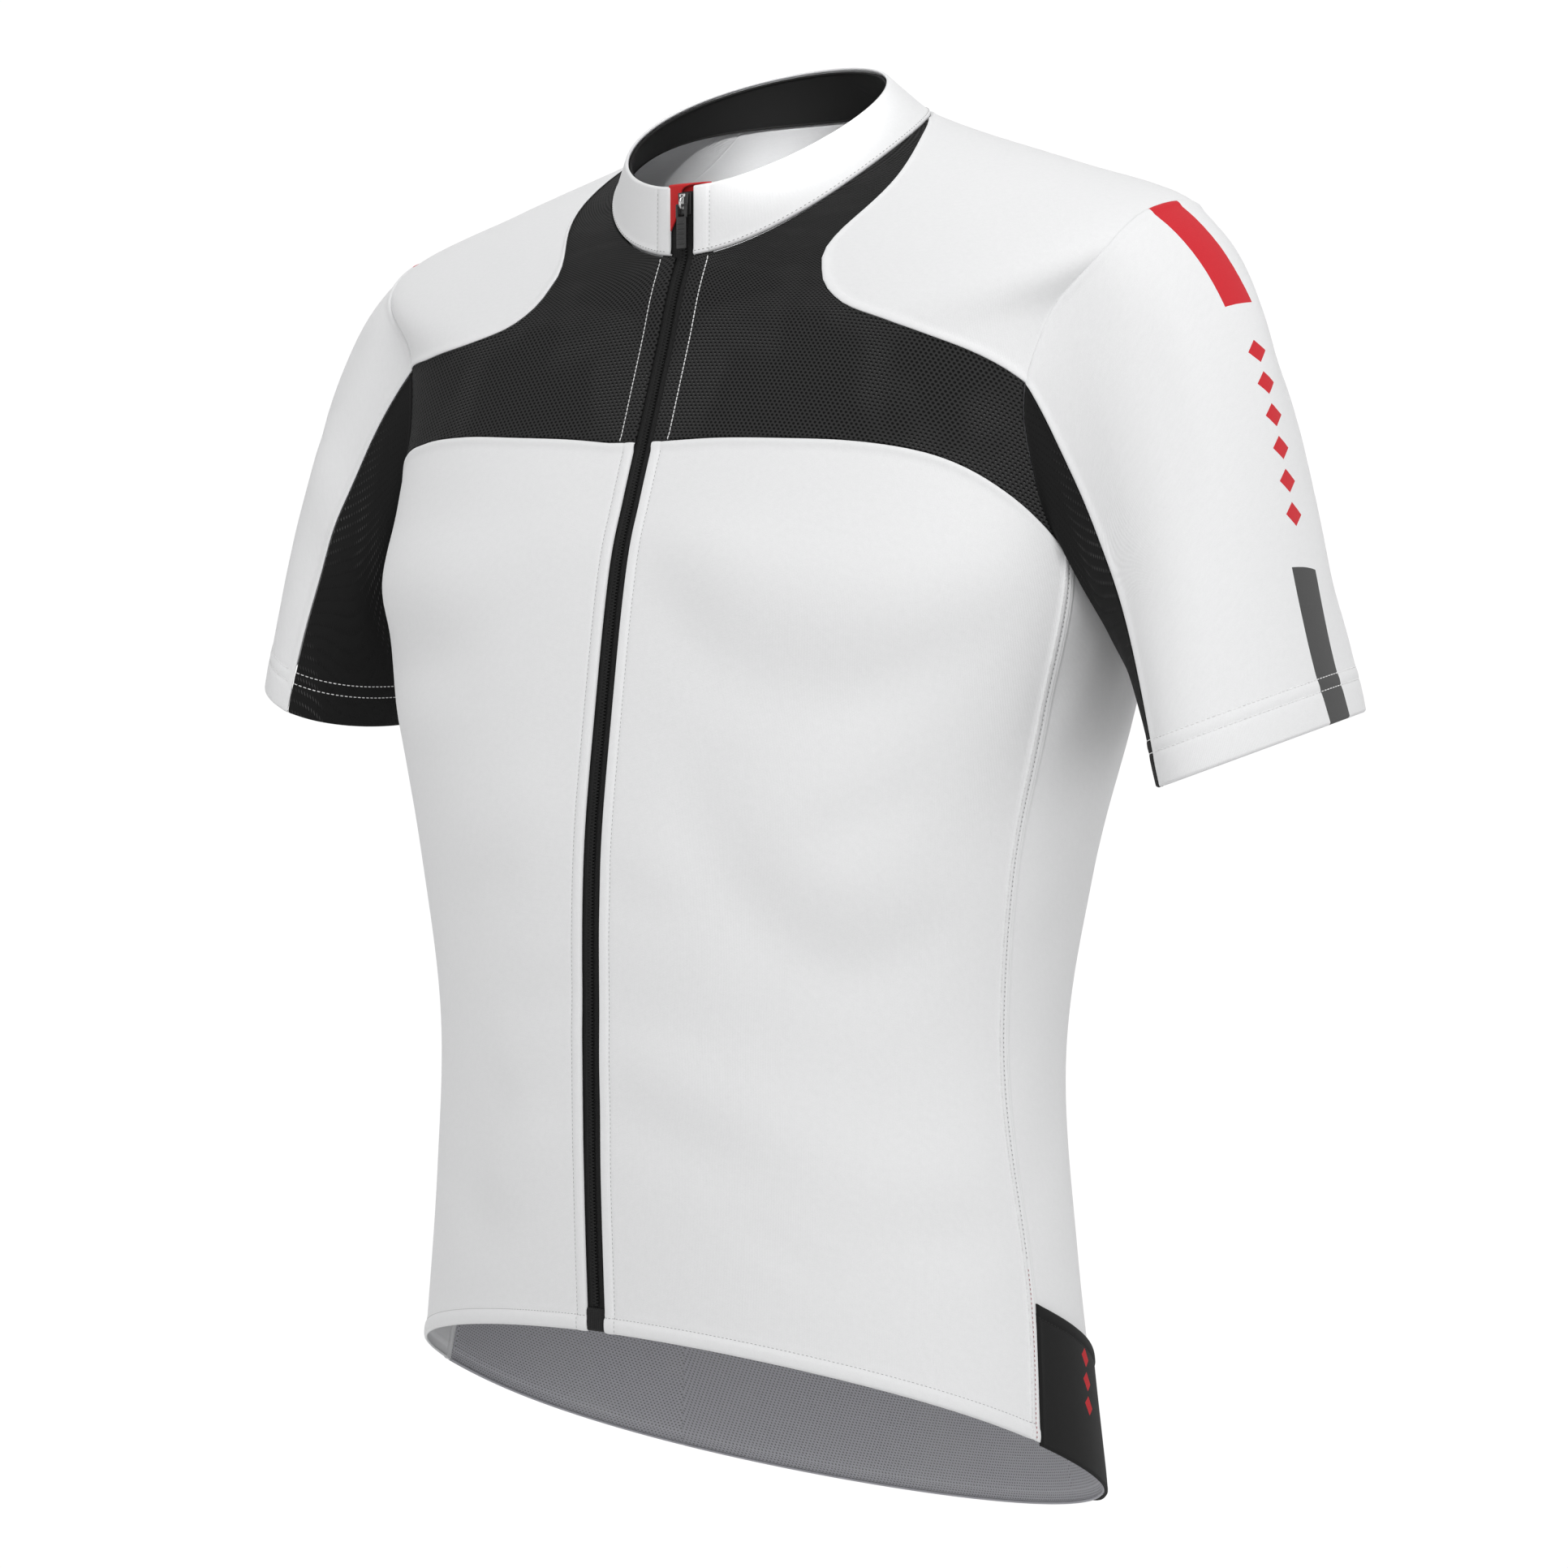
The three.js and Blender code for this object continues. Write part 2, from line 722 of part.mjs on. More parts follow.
// A strip up the centre front between two distances from the centre line. It bends where the
// front panels and the collar do.
const bends = [
  ...sideSeams.left.centreFront,
  ...sideSeams.left.centreYoke.slice(1),
  { v: NECK + 0.5 },
  { v: COLLAR_TOP },
].map(({ v }) => v);
function strip(xs, low, high, out, thick) {
  const inside = bends.filter((v) => v > low + 0.1 && v < high - 0.1);
  const grid = [low, ...inside, high].map((v) => xs.map((x) => ({ t: frontT(x, v), v })));
  return bodyPanel(grid, { gap: 0, out: () => out, thick });
}
for (const { side, sign } of SLEEVES) {
  const xs = [ZIP.tapeIn, ZIP_HALF, ZIP.tapeOut];
  const spread = sign > 0 ? xs : xs.map((x) => -x).reverse();
  add(
    `zip_tape_${side}`,
    strip(spread, 0.03, NECK + ZIP.tapeTop, -CLOTH - ZIP.tapeGap, 0.8),
    "zip",
  );
}
add(
  "zip_chain",
  strip(
    [-ZIP.chainHalf, 0.001, ZIP.chainHalf],
    ZIP.stopTop + 0.01,
    frontV(SLIDER.low - SEAM_GAP),
    -0.6,
    1.1,
  ),
  "zip",
);
add("zip_stop", strip([-6.1, 0.001, 6.1], 0.005, ZIP.stopTop, -0.1, 1.1), "zip");

// The guard: a red tab beside the slider, folded over the collar's edge and down inside.
// Each row is a place on its fold: distance out from the collar, height over its edge,
// and how far the tab reaches to either side of the zip.
const GUARD_FOLD = table(
  ["out", "up", "right", "left"],
  [
    [-0.65, -22, -6.1, -5.4],
    [-0.65, -14, -6.1, -4.2],
    [-0.65, -8, -6.1, -2.9],
    [-0.65, -1.6, -6.1, -2.9],
    [-0.75, 0.4, -6.1, 3],
    [-1.2, 0.95, -6.2, 8],
    [-2.0, 1.15, -6.4, 13],
    [-2.8, 0.95, -6.6, 13],
    [-3.2, 0.2, -6.8, 13],
    [-3.25, -1.6, -7, 12.5],
    [-3.25, -12, -7, 10],
  ],
);
{
  const y0 = RINGS[COLLAR_TOP].front;
  const z0 = RINGS[COLLAR_TOP].zFront;
  const thick = 0.9;
  const columns = 6;
  const face = (side) =>
    GUARD_FOLD.map((row, j) => {
      const a = GUARD_FOLD[Math.max(j - 1, 0)];
      const b = GUARD_FOLD[Math.min(j + 1, GUARD_FOLD.length - 1)];
      const along2 = new THREE.Vector2(b.out - a.out, b.up - a.up).normalize();
      const off = new THREE.Vector2(along2.y, -along2.x).multiplyScalar((side * thick) / 2);
      return Array.from({ length: columns + 1 }, (_, i) => {
        const x = row.right + ((row.left - row.right) * i) / columns;
        const bend = (x * x) / (2 * RINGS[COLLAR_TOP].half); // follows the collar round
        return new THREE.Vector3(x, y0 - row.out - off.x + bend, z0 + row.up + off.y);
      });
    });
  add("zip_guard", wall(face(1), face(-1)), "red");
}

// ---- slider with its bail, and the pull that swings on it ----
const wasm = await Module();
wasm.setup();
function solid(geometry) {
  const bare = geometry.clone();
  bare.deleteAttribute("normal");
  bare.deleteAttribute("uv");
  const merged = mergeVertices(bare, 1e-4);
  return new wasm.Manifold(
    new wasm.Mesh({
      numProp: 3,
      vertProperties: new Float32Array(merged.attributes.position.array),
      triVerts: new Uint32Array(merged.index.array),
    }),
  );
}
function geometryOf(manifold) {
  const mesh = manifold.getMesh();
  const geometry = new THREE.BufferGeometry();
  geometry.setAttribute("position", new THREE.Float32BufferAttribute(mesh.vertProperties, 3));
  geometry.setIndex([...mesh.triVerts]);
  geometry.computeVertexNormals();
  return geometry;
}
// A flat outline in the plane across the zip (y out of the cloth, z up), given a width along X.
function plate(shape, half) {
  const geometry = new THREE.ExtrudeGeometry(shape, { depth: 2 * half, bevelEnabled: false, steps: 1 });
  geometry.translate(0, 0, -half);
  // shape x -> -Y, shape y -> Z, depth -> X
  geometry.applyMatrix4(
    new THREE.Matrix4().set(0, 0, -1, 0, -1, 0, 0, 0, 0, 1, 0, 0, 0, 0, 0, 1),
  );
  return geometry;
}
const outline = (points) => new THREE.Shape(points.map(([x, y]) => new THREE.Vector2(x, y)));
const collarY = RINGS[COLLAR_TOP].front;
const middle = (SLIDER.low + SLIDER.high) / 2;
{
  const { back, front, low, high, bailReach: r, bailBar: bar, bailFront: top } = SLIDER;
  const body = outline([
    [back, low - middle],
    [front - 0.3, low - middle],
    [front, low - middle + 0.6],
    [front, high - middle - 0.6],
    [front - 0.3, high - middle],
    [back, high - middle],
  ]);
  const bail = outline([
    [front - 0.4, -r],
    [top - 0.5, -r],
    [top, -r + 0.5],
    [top, r - 0.5],
    [top - 0.5, r],
    [front - 0.4, r],
    [front - 0.4, r - bar],
    [top - 1, r - bar],
    [top - 1, -r + bar],
    [front - 0.4, -r + bar],
  ]);
  const joined = solid(plate(body, SLIDER.half)).add(solid(plate(bail, SLIDER.bailHalf)));
  add("zip_slider", geometryOf(joined), "metal").position.set(SLIDER.x, collarY, middle);
}
const PULL = {
  thick: 1.1,
  half: 3.2,
  long: 20,
  eye: 1.1, // bar that passes through the bail
  window: 5.4,
  windowHalf: 1.9,
  out: 2.5, // the swing's axis in front of the collar
  up: -0.9, // and above the slider's middle
};
{
  const { half, long, eye, window: w, windowHalf: wh } = PULL;
  const shape = outline([
    [-half, eye / 2 - 0.4],
    [-half, -w - 0.4],
    [-half + 0.5, -w - 2],
    [-half + 0.5, -long + 1.5],
    [-half + 1.5, -long],
    [half - 1.5, -long],
    [half - 0.5, -long + 1.5],
    [half - 0.5, -w - 2],
    [half, -w - 0.4],
    [half, eye / 2 - 0.4],
    [half - 0.4, eye / 2],
    [-half + 0.4, eye / 2],
  ]);
  shape.holes.push(
    new THREE.Path(
      [
        [-wh, -eye / 2],
        [-wh, -w],
        [wh, -w],
        [wh, -eye / 2],
      ].map(([x, y]) => new THREE.Vector2(x, y)),
    ),
  );
  const geometry = new THREE.ExtrudeGeometry(shape, { depth: PULL.thick, bevelEnabled: false, steps: 1 });
  geometry.translate(0, 0, -PULL.thick / 2);
  geometry.rotateX(Math.PI / 2); // outline's y -> Z, thickness -> -Y
  add("zip_pull", geometry, "zip").position.set(
    SLIDER.x,
    collarY - PULL.out,
    middle + PULL.up,
  );
}

export default group;
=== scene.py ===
"""Studio scene of a short-sleeved cycling jersey, filled out and worn by nobody.

Lengths are millimetres until a mesh is finished, and metres in Blender. +X is the wearer's
left, -Y the front and +Z up. A place on the torso and the collar is (t, v): t goes round in
degrees (-90 centre front, 0 wearer's left, 90 centre back) and v counts rings up from the hem.
A place on a sleeve is (phi, s): phi goes round the armhole and s runs from it to the cuff.
"""

from __future__ import annotations

import logging
import math
from dataclasses import dataclass, field
from enum import Enum
from typing import Callable, Sequence

import bmesh
import bpy
import numpy as np
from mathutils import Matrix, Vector

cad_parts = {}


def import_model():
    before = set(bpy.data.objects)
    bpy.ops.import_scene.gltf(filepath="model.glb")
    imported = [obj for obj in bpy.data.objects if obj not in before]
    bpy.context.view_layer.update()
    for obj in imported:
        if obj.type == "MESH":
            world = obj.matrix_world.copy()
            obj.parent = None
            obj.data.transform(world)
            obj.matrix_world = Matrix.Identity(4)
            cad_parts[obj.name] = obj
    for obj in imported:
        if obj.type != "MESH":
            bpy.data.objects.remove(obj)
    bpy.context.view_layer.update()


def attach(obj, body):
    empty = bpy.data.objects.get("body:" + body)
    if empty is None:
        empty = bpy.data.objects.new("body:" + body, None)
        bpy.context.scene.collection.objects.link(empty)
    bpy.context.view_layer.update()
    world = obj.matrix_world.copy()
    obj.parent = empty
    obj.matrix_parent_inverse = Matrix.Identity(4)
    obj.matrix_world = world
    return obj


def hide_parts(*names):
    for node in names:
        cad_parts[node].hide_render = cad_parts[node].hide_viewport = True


log = logging.getLogger("jersey")
MM = 0.001
Array = np.ndarray
Triple = tuple[float, float, float]

# ---------------------------------------------------------------- the garment's form

NECK = 11.0  # v of the neck seam
COLLAR_TOP = 12.0  # v of the collar's top edge
ZIP_HALF = 5.1  # half the open width between the two folded front edges
FOLDS_END = 10.2  # v from which the folds fade out below the neck seam
CENTRE = 0.001  # distance from the centre line that stands for the line itself
CLOTH = 1.2  # wall of a cloth panel

# A cross-section a row: half width, front and back, heights in front, at the side and behind,
# the left side's tilt, how square it is in front and behind, and how the back hangs.
RINGS = np.array(
    [
        (179, -134, 104, -548, -603, -657, -57, 2.15, 2.0, 2.5),  # hem
        (166, -137, 98, -480, -506, -534, -26, 2.15, 2.0, 2.2),  # hip
        (160, -138, 96, -410, -420, -435, -12, 2.2, 2.0, 2.0),  # waist
        (174, -137, 101, -335, -338, -345, -5, 2.3, 2.0, 2.0),  # ribs
        (194, -129, 105, -268, -268, -270, -1, 2.5, 2.0, 2.0),  # chest
        (206, -119, 105, -205, -218, -205, 0, 2.7, 2.0, 2.0),  # armpit
        (201, -109, 104, -172, -165, -155, 8, 2.9, 2.1, 2.0),  # lower armhole
        (197, -99, 102, -143, -115, -110, 16, 3.0, 2.1, 2.0),  # middle of the armhole
        (205, -91, 97, -119, -78, -85, 17, 2.9, 2.1, 2.0),  # upper armhole
        (225, -84, 89, -98, -46, -64, 17, 2.6, 2.0, 2.0),  # shoulder tip
        (158, -78, 76, -78, -23, -26, 26, 2.3, 2.0, 2.0),  # shoulder
        (81, -71, 58, -60, -5, 16, 38, 2.0, 2.0, 2.0),  # base of the neck
        (66, -71, 36, -28, 9, 38, 33, 2.0, 2.0, 2.0),  # collar's top edge
    ]
)
# Seam lines of the left half, each row a place (t, v).
YOKE_LOWER = np.array(
    [(-86, 6.87), (-78, 6.86), (-68, 6.76), (-57, 6.6), (-46, 6.33), (-35, 5.89), (-23, 5.29)]
)
YOKE_UPPER = np.array(
    [(-33, 7.04), (-42, 7.56), (-51, 8.08), (-59, 8.57), (-64.5, 9.05), (-65, 9.5), (-62, 9.9), (-57, 10.25)]
    + [(-46, 10.52), (-23, 10.75), (-2, 10.91), (19, 11)]
)
SIDE_SEAM = np.array(
    [(-11.6, 0), (-6.6, 0.75), (-7.8, 1.5), (-10, 2.2)]
    + [(-14.6, 2.95), (-18.2, 3.8), (-20.9, 4.55), (-23, 5.29)]
)
BACK_SEAM = np.array([(48, 0), (48, 1), (48, 2), (47, 3), (42, 4), (33, 4.8), (20, 5.45)])
SHOULDER_SEAM = np.array([(16, 8.9), (27, 9.35), (38, 9.85), (46, 10.4), (48, 11)])
POCKET_TOP = np.array([(-6.6, 0.69), (12, 0.62), (28, 0.56), (44, 0.55), (64, 0.65), (90, 0.77)])
# Armhole, a row every 30 degrees: 0 at the shoulder tip, 90 in front, 180 under the arm.
ARMHOLE = np.array(
    [(0, 9.1), (-18, 9.1), (-29, 8.75), (-32, 7.8), (-32.5, 6.55), (-23.5, 5.34)]
    + [(0, 4.98), (18, 5.35), (28, 6.4), (29, 7.5), (26, 8.4), (15, 8.95)]
)
# How far the armhole rides up on the raised side: place round the body, rings.
RISE = np.array(
    [(-90, 0), (-84, 0), (-60, 0.27), (-46, 0.4), (-33, 0.65)]
    + [(-20, 0.5), (0, 0.42), (30, 0.4), (60, 0.15), (90, 0)]
)
# Places round the armhole where seams run into it.
ARM_YOKE_TOP, ARM_SIDE_FRONT, ARM_SIDE_BACK, ARM_SHOULDER = 108.0, 152.0, 213.0, 332.0


def smooth(lo: float, hi: float, x: Array) -> Array:
    """Hermite step from 0 at lo to 1 at hi."""
    f = np.clip((x - lo) / (hi - lo), 0, 1)
    return f * f * (3 - 2 * f)


def along(rows: Array, u: Array, closed: bool = False) -> Array:
    """Reads a table between its rows.

    Args:
        rows: one row a knot, one column a value.
        u: row numbers, whole or not.
        closed: whether the last row leads back to the first.

    Returns:
        The columns at each u, with one more axis than u.
    """
    n = len(rows)
    u = np.asarray(u, float)
    x = np.mod(u, n) if closed else np.clip(u, 0, n - 1)
    i = np.floor(x).astype(int)
    if not closed:
        i = np.minimum(i, n - 2)
        padded = np.vstack([2 * rows[0] - rows[1], rows, 2 * rows[-1] - rows[-2]])
        a, b, c, d = (padded[i + k] for k in range(4))
    else:
        a, b, c, d = (rows[(i + k) % n] for k in (-1, 0, 1, 2))
    f = (x - i)[..., None]
    return 0.5 * (2 * b + (c - a) * f + (2 * a - 5 * b + 4 * c - d) * f**2 + (3 * b - a - 3 * c + d) * f**3)


def unit(v: Array) -> Array:
    """Vectors along the last axis, at length one."""
    return v / np.maximum(np.linalg.norm(v, axis=-1, keepdims=True), 1e-9)


def run_along(points: Array) -> Array:
    """The distance of each point of a line from its first one."""
    return np.concatenate([[0], np.cumsum(np.linalg.norm(np.diff(points, axis=0), axis=-1))])


def read_line(values: Array, where: Array, at: Array) -> Array:
    """A line's points or normals at set distances along it."""
    return np.stack([np.interp(at, where, values[:, k]) for k in range(3)], -1)


def ring_at(v: Array) -> Array:
    """The cross-section at each height: smooth up to the neck seam, straight up the collar.

    Args:
        v: rings up from the hem.

    Returns:
        The columns of RINGS at each v.
    """
    v = np.asarray(v, float)
    body = along(RINGS[:12], np.minimum(v, NECK))
    f = np.clip(v - NECK, 0, None)[..., None]
    return np.where(v[..., None] <= NECK, body, RINGS[11] + (RINGS[12] - RINGS[11]) * f)


def torso(t: Array, v: Array) -> Array:
    """The body's plain surface.

    Args:
        t: degrees round the body.
        v: rings up from the hem.

    Returns:
        Points in millimetres.
    """
    t, v = np.broadcast_arrays(np.asarray(t, float), np.asarray(v, float))
    r = ring_at(v)
    half, front, back, z_front, z_side, z_back, tilt, n_front, n_back, droop = np.moveaxis(r, -1, 0)
    c, s = np.cos(np.radians(t)), np.sin(np.radians(t))
    n = np.where(s < 0, n_front, n_back)
    reach = (np.abs(c) ** n + np.abs(s) ** n) ** (-1 / n)
    rest = np.where(s < 0, (z_front - z_side + tilt) * s**2, (z_back - z_side - tilt) * np.abs(s) ** droop)
    deep = (front + back) / 2 + (back - front) / 2 * reach * s
    return np.stack([half * reach * c, deep, z_side + tilt * s + rest], -1)


def torso_normal(t: Array, v: Array) -> Array:
    """Outward normals of the plain surface, taken just below a seam ring or just above it.

    Args:
        t: degrees round the body.
        v: rings up from the hem.

    Returns:
        Unit vectors.
    """
    step = 0.02
    v = np.asarray(v, float)
    mid = np.where(v > NECK, np.clip(v, NECK + step, COLLAR_TOP), np.clip(v, 0, NECK - step))
    across = torso(t + 0.2, mid) - torso(t - 0.2, mid)
    return unit(np.cross(across, torso(t, mid + step) - torso(t, mid - step)))


def front_t(x: float, v: Array) -> Array:
    """Places on the front beside the centre line.

    Args:
        x: distance from the centre line in millimetres, above 0 to the wearer's left.
        v: rings up from the hem.

    Returns:
        The t of each place.
    """
    r = ring_at(v)
    q = abs(x) / r[..., 0]
    n = r[..., 7]
    t = -np.degrees(np.arctan((q**-n - 1) ** (1 / n)))
    return -180 - t if x < 0 else t


def armhole(phi: Array) -> Array:
    """Places (t, v) round the armhole."""
    return along(ARMHOLE, np.asarray(phi, float) / 30, True)


def ride(places: Array, rise: float) -> Array:
    """Lifts the places of one side where that side's armhole rides up.

    Args:
        places: rows of (t, v).
        rise: 0 for none, 1 for the whole of RISE.

    Returns:
        The lifted places.
    """
    t, v = places[..., 0], places[..., 1]
    band = smooth(3.4, 5.0, v) * (1 - smooth(7.0, 9.3, v))
    lift = np.interp(np.clip(t, -90, 90), RISE[:, 0], RISE[:, 1])
    return np.stack([t, v + rise * lift * band], -1)


@dataclass(frozen=True)
class SleevePose:
    """Where one sleeve's cuff lies and how it leaves the shoulder, on its own left-hand side."""

    side: str
    sign: int
    centre: tuple[float, float, float]
    leave: float
    turn: float
    rise: float
    tilt_out: float
    tilt_front: float

    def surface(self, phi: Array, s: Array) -> Array:
        """The sleeve's plain surface.

        Args:
            phi: degrees round the armhole.
            s: 0 at the armhole, 1 at the cuff.

        Returns:
            Points in millimetres, before the right sleeve is mirrored.
        """
        phi, s = np.broadcast_arrays(np.asarray(phi, float), np.asarray(s, float))
        g = ride(armhole(phi), self.rise)
        start = torso(g[..., 0], g[..., 1])
        turned = np.radians(phi + self.turn)[..., None]
        out, dip = math.radians(self.tilt_out), math.radians(self.tilt_front)
        outward = np.array([math.cos(out), 0, math.sin(out)])
        forward = np.array([0, -math.cos(dip), -math.sin(dip)])
        end = (
            np.array(self.centre)
            + outward * CUFF_OUTWARD * np.cos(turned)
            + forward * CUFF_FORE_AFT * np.sin(turned)
        )
        pull = CUFF_REACH * np.linalg.norm(end - start, axis=-1, keepdims=True)
        s = s[..., None]
        leave = heading(self.leave + LEAVE_SPREAD * np.cos(np.radians(phi)))
        return (
            start * (2 * s**3 - 3 * s**2 + 1)
            + leave * pull * (s**3 - 2 * s**2 + s)
            + end * (3 * s**2 - 2 * s**3)
            + heading(np.asarray(float(CUFF_AXIS))) * pull * (s**3 - s**2)
        )

    def at(self, places: Array) -> Array:
        """The plain surface at a grid of places (phi, s)."""
        return self.surface(places[..., 0], places[..., 1])

    def normals(self, phi: Array, s: Array) -> Array:
        """Outward normals of the plain surface.

        Args:
            phi: degrees round the armhole.
            s: 0 at the armhole, 1 at the cuff.

        Returns:
            Unit vectors.
        """
        s = np.clip(s, 0.02, 0.98)
        du = self.surface(phi + 0.5, s) - self.surface(phi - 0.5, s)
        dv = self.surface(phi, s + 0.02) - self.surface(phi, s - 0.02)
        return unit(np.cross(du, dv))


# The cuff's half width across the body and fore and aft, the way it points, how strongly the
# sleeve is drawn to it, and how the shoulder's slope varies round the armhole.
CUFF_OUTWARD, CUFF_FORE_AFT, CUFF_AXIS, CUFF_REACH, LEAVE_SPREAD = 36, 66, 14, 0.9, 12
POSES = (
    SleevePose("left", 1, (271, -7, -284), 40, 19, 0, 18, 10),
    SleevePose("right", -1, (262, -7, -261), 50, -6, 1, 27, 6),
)


def heading(angle: Array) -> Array:
    """A direction in the plane across the body, degrees out from straight down."""
    a = np.radians(angle)
    return np.stack([np.sin(a), np.zeros_like(a), -np.cos(a)], -1)


# ---------------------------------------------------------------- folds in the cloth


@dataclass(frozen=True)
class Fold:
    """A soft ridge (height above 0) or trough (below 0) along a gently bowed line."""

    start: tuple[float, float]
    end: tuple[float, float]
    height: float
    width: float
    bow: float = 0.0

    def lift(self, x: Array, y: Array) -> Array:
        """The fold's height.

        Args:
            x: places on the unrolled cloth, across, in millimetres.
            y: and up.

        Returns:
            The height in millimetres at each place.
        """
        a, b = np.array(self.start, float), np.array(self.end, float)
        run = b - a
        long = float(np.hypot(*run))
        d = run / long
        s = ((x - a[0]) * d[0] + (y - a[1]) * d[1]) / long
        off = -(x - a[0]) * d[1] + (y - a[1]) * d[0] - self.bow * 4 * s * (1 - s)
        ends = smooth(-0.12, 0.3, s) * (1 - smooth(0.62, 1.12, s))
        near = off / self.width
        valley = 0.3 * min(1.0, 12 / self.width) ** 2
        sides = valley * np.exp(-((np.abs(near) - 1.9) ** 2) / 0.9)
        return self.height * ends * (np.exp(-(near**2)) - sides)


PER_DEGREE = 2.9  # mm round the body for a degree, roughly
SLEEVE_PER_DEGREE, SLEEVE_LONG = 0.92, 180.0  # mm round a sleeve for a degree, and down it
SIDE_HEIGHTS = RINGS[:, 4]

# A fold a row: both ends, then height, width and bow in mm. An end of the body's folds is degrees
# round and height at the side in mm; an end of a sleeve's is (phi, s).
FoldRow = tuple[float, float, float, float, float, float, float]
LEFT_FRONT_FOLDS: tuple[FoldRow, ...] = (
    (-84, -176, -32, -186, 3.0, 44, -16),
    (-84, -198, -34, -214, 3.8, 24, -22),
    (-86, -222, -34, -240, -0.9, 12, -30),
    (-58, -285, -36, -372, 2.8, 34, -8),
    (-76, -288, -47, -394, -2.1, 18, -13),
    (-58, -326, -36, -302, -0.7, 12, -3),
    (-52, -390, -26, -360, -1.1, 18, -10),
    (-88, -348, -68, -368, -0.5, 12, -3),
    (-88, -408, -64, -428, -0.4, 13, 0),
    (-88, -456, -58, -494, -0.8, 17, -4),
    (-85, -430, -30, -515, 1.0, 22, 5),
    (-64, -520, -47, -552, -0.4, 9, 0),
    (-42, -490, -14, -478, 0.9, 20, 3),
    (-38, -518, -10, -496, -0.7, 14, -4),
)
RIGHT_FRONT_FOLDS: tuple[FoldRow, ...] = (
    (212, -203, 250, -207, 3.0, 26, -8),
    (210, -238, 248, -243, -3.0, 14, -8),
    (262, -300, 240, -345, 1.0, 20, 0),
    (254, -335, 231, -380, -1.4, 20, 4),
    (268, -398, 250, -418, -0.6, 12, 0),
    (250, -446, 234, -494, -1.6, 22, 3),
    (262, -470, 244, -530, 1.1, 17, 0),
    (234, -484, 250, -560, -1.9, 22, -5),
)
SIDE_FOLDS: tuple[FoldRow, ...] = (
    (-14, -212, -21, -290, -0.7, 11, 3),
    (8, -218, 2, -300, -1.0, 12, 0),
    (22, -214, 30, -302, -1.2, 12, -4),
    (20, -330, -5, -382, -0.9, 14, 4),
    (12, -428, -8, -500, -0.6, 14, 5),
    (190, -218, 200, -300, -1.8, 10, 3),
    (174, -226, 171, -312, -1.7, 10, -3),
    (165, -440, 195, -502, -2.0, 12, 6),
)
BACK_FOLDS: tuple[FoldRow, ...] = (
    (28, -150, 74, -232, -3.6, 15, -8),
    (152, -146, 109, -240, -3.4, 16, 9),
    (90, -178, 92, -384, -3.4, 22, 4),
    (60, -398, 121, -420, -3.2, 13, -6),
    (36, -428, 70, -482, -3.0, 12, 5),
    (146, -418, 112, -476, -3.1, 12, -5),
    (50, -500, 131, -508, -2.4, 11, -5),
    (70, -290, 44, -350, 2.8, 15, 4),
    (112, -300, 140, -352, 2.6, 15, -4),
)
BODY_FOLDS = LEFT_FRONT_FOLDS + RIGHT_FRONT_FOLDS + SIDE_FOLDS + BACK_FOLDS
SLEEVE_FOLDS: dict[str, tuple[FoldRow, ...]] = {
    "left": (
        (300, 0.02, 335, 0.5, -2.0, 11, 4),
        (250, 0.06, 285, 0.6, -1.8, 10, -3),
        (60, 0.1, 40, 0.7, -1.8, 12, 4),
        (20, 0.3, 340, 0.85, 0.6, 17, 0),
        (150, 0.0, 170, 0.5, -2.0, 9, 3),
        (275, 0.62, 330, 0.9, -0.7, 12, 4),
    ),
    "right": (
        (300, 0.04, 328, 0.56, -1.9, 11, 4),
        (255, 0.05, 290, 0.5, -1.7, 10, -3),
        (62, 0.08, 45, 0.6, -1.9, 12, 4),
        (24, 0.35, 350, 0.9, 1.6, 14, 0),
        (155, 0.0, 172, 0.52, -2.0, 9, 3),
    ),
}


def body_relief(t: Array, v: Array) -> Array:
    """How far the folds lift the body's cloth.

    Args:
        t: degrees round the body.
        v: rings up from the hem.

    Returns:
        The lift in millimetres.
    """
    t = np.mod(np.asarray(t, float) + 90, 360) - 90
    x, y = t * PER_DEGREE, np.interp(v, np.arange(len(RINGS)), SIDE_HEIGHTS)
    total = np.zeros_like(x)
    for t0, z0, t1, z1, height, width, bow in BODY_FOLDS:
        total += Fold((t0 * PER_DEGREE, z0), (t1 * PER_DEGREE, z1), height, width, bow).lift(x, y)
    return total * (1 - smooth(FOLDS_END, NECK, np.asarray(v, float)))


def sleeve_relief(side: str, phi: Array, s: Array) -> Array:
    """How far the folds lift a sleeve's cloth.

    Args:
        side: the wearer's left or right.
        phi: degrees round the armhole.
        s: 0 at the armhole, 1 at the cuff.

    Returns:
        The lift in millimetres.
    """
    phi = np.mod(np.asarray(phi, float), 360)
    x, y = phi * SLEEVE_PER_DEGREE, -SLEEVE_LONG * np.asarray(s, float)
    total = np.zeros_like(x)
    for p0, s0, p1, s1, height, width, bow in SLEEVE_FOLDS[side]:
        for turn in (-360, 0, 360):
            start = ((p0 + turn) * SLEEVE_PER_DEGREE, -SLEEVE_LONG * s0)
            end = ((p1 + turn) * SLEEVE_PER_DEGREE, -SLEEVE_LONG * s1)
            total += Fold(start, end, height, width, bow).lift(x, y)
    return total


CHART_STEPS = (181, 91)  # places at which a chart is measured, each way


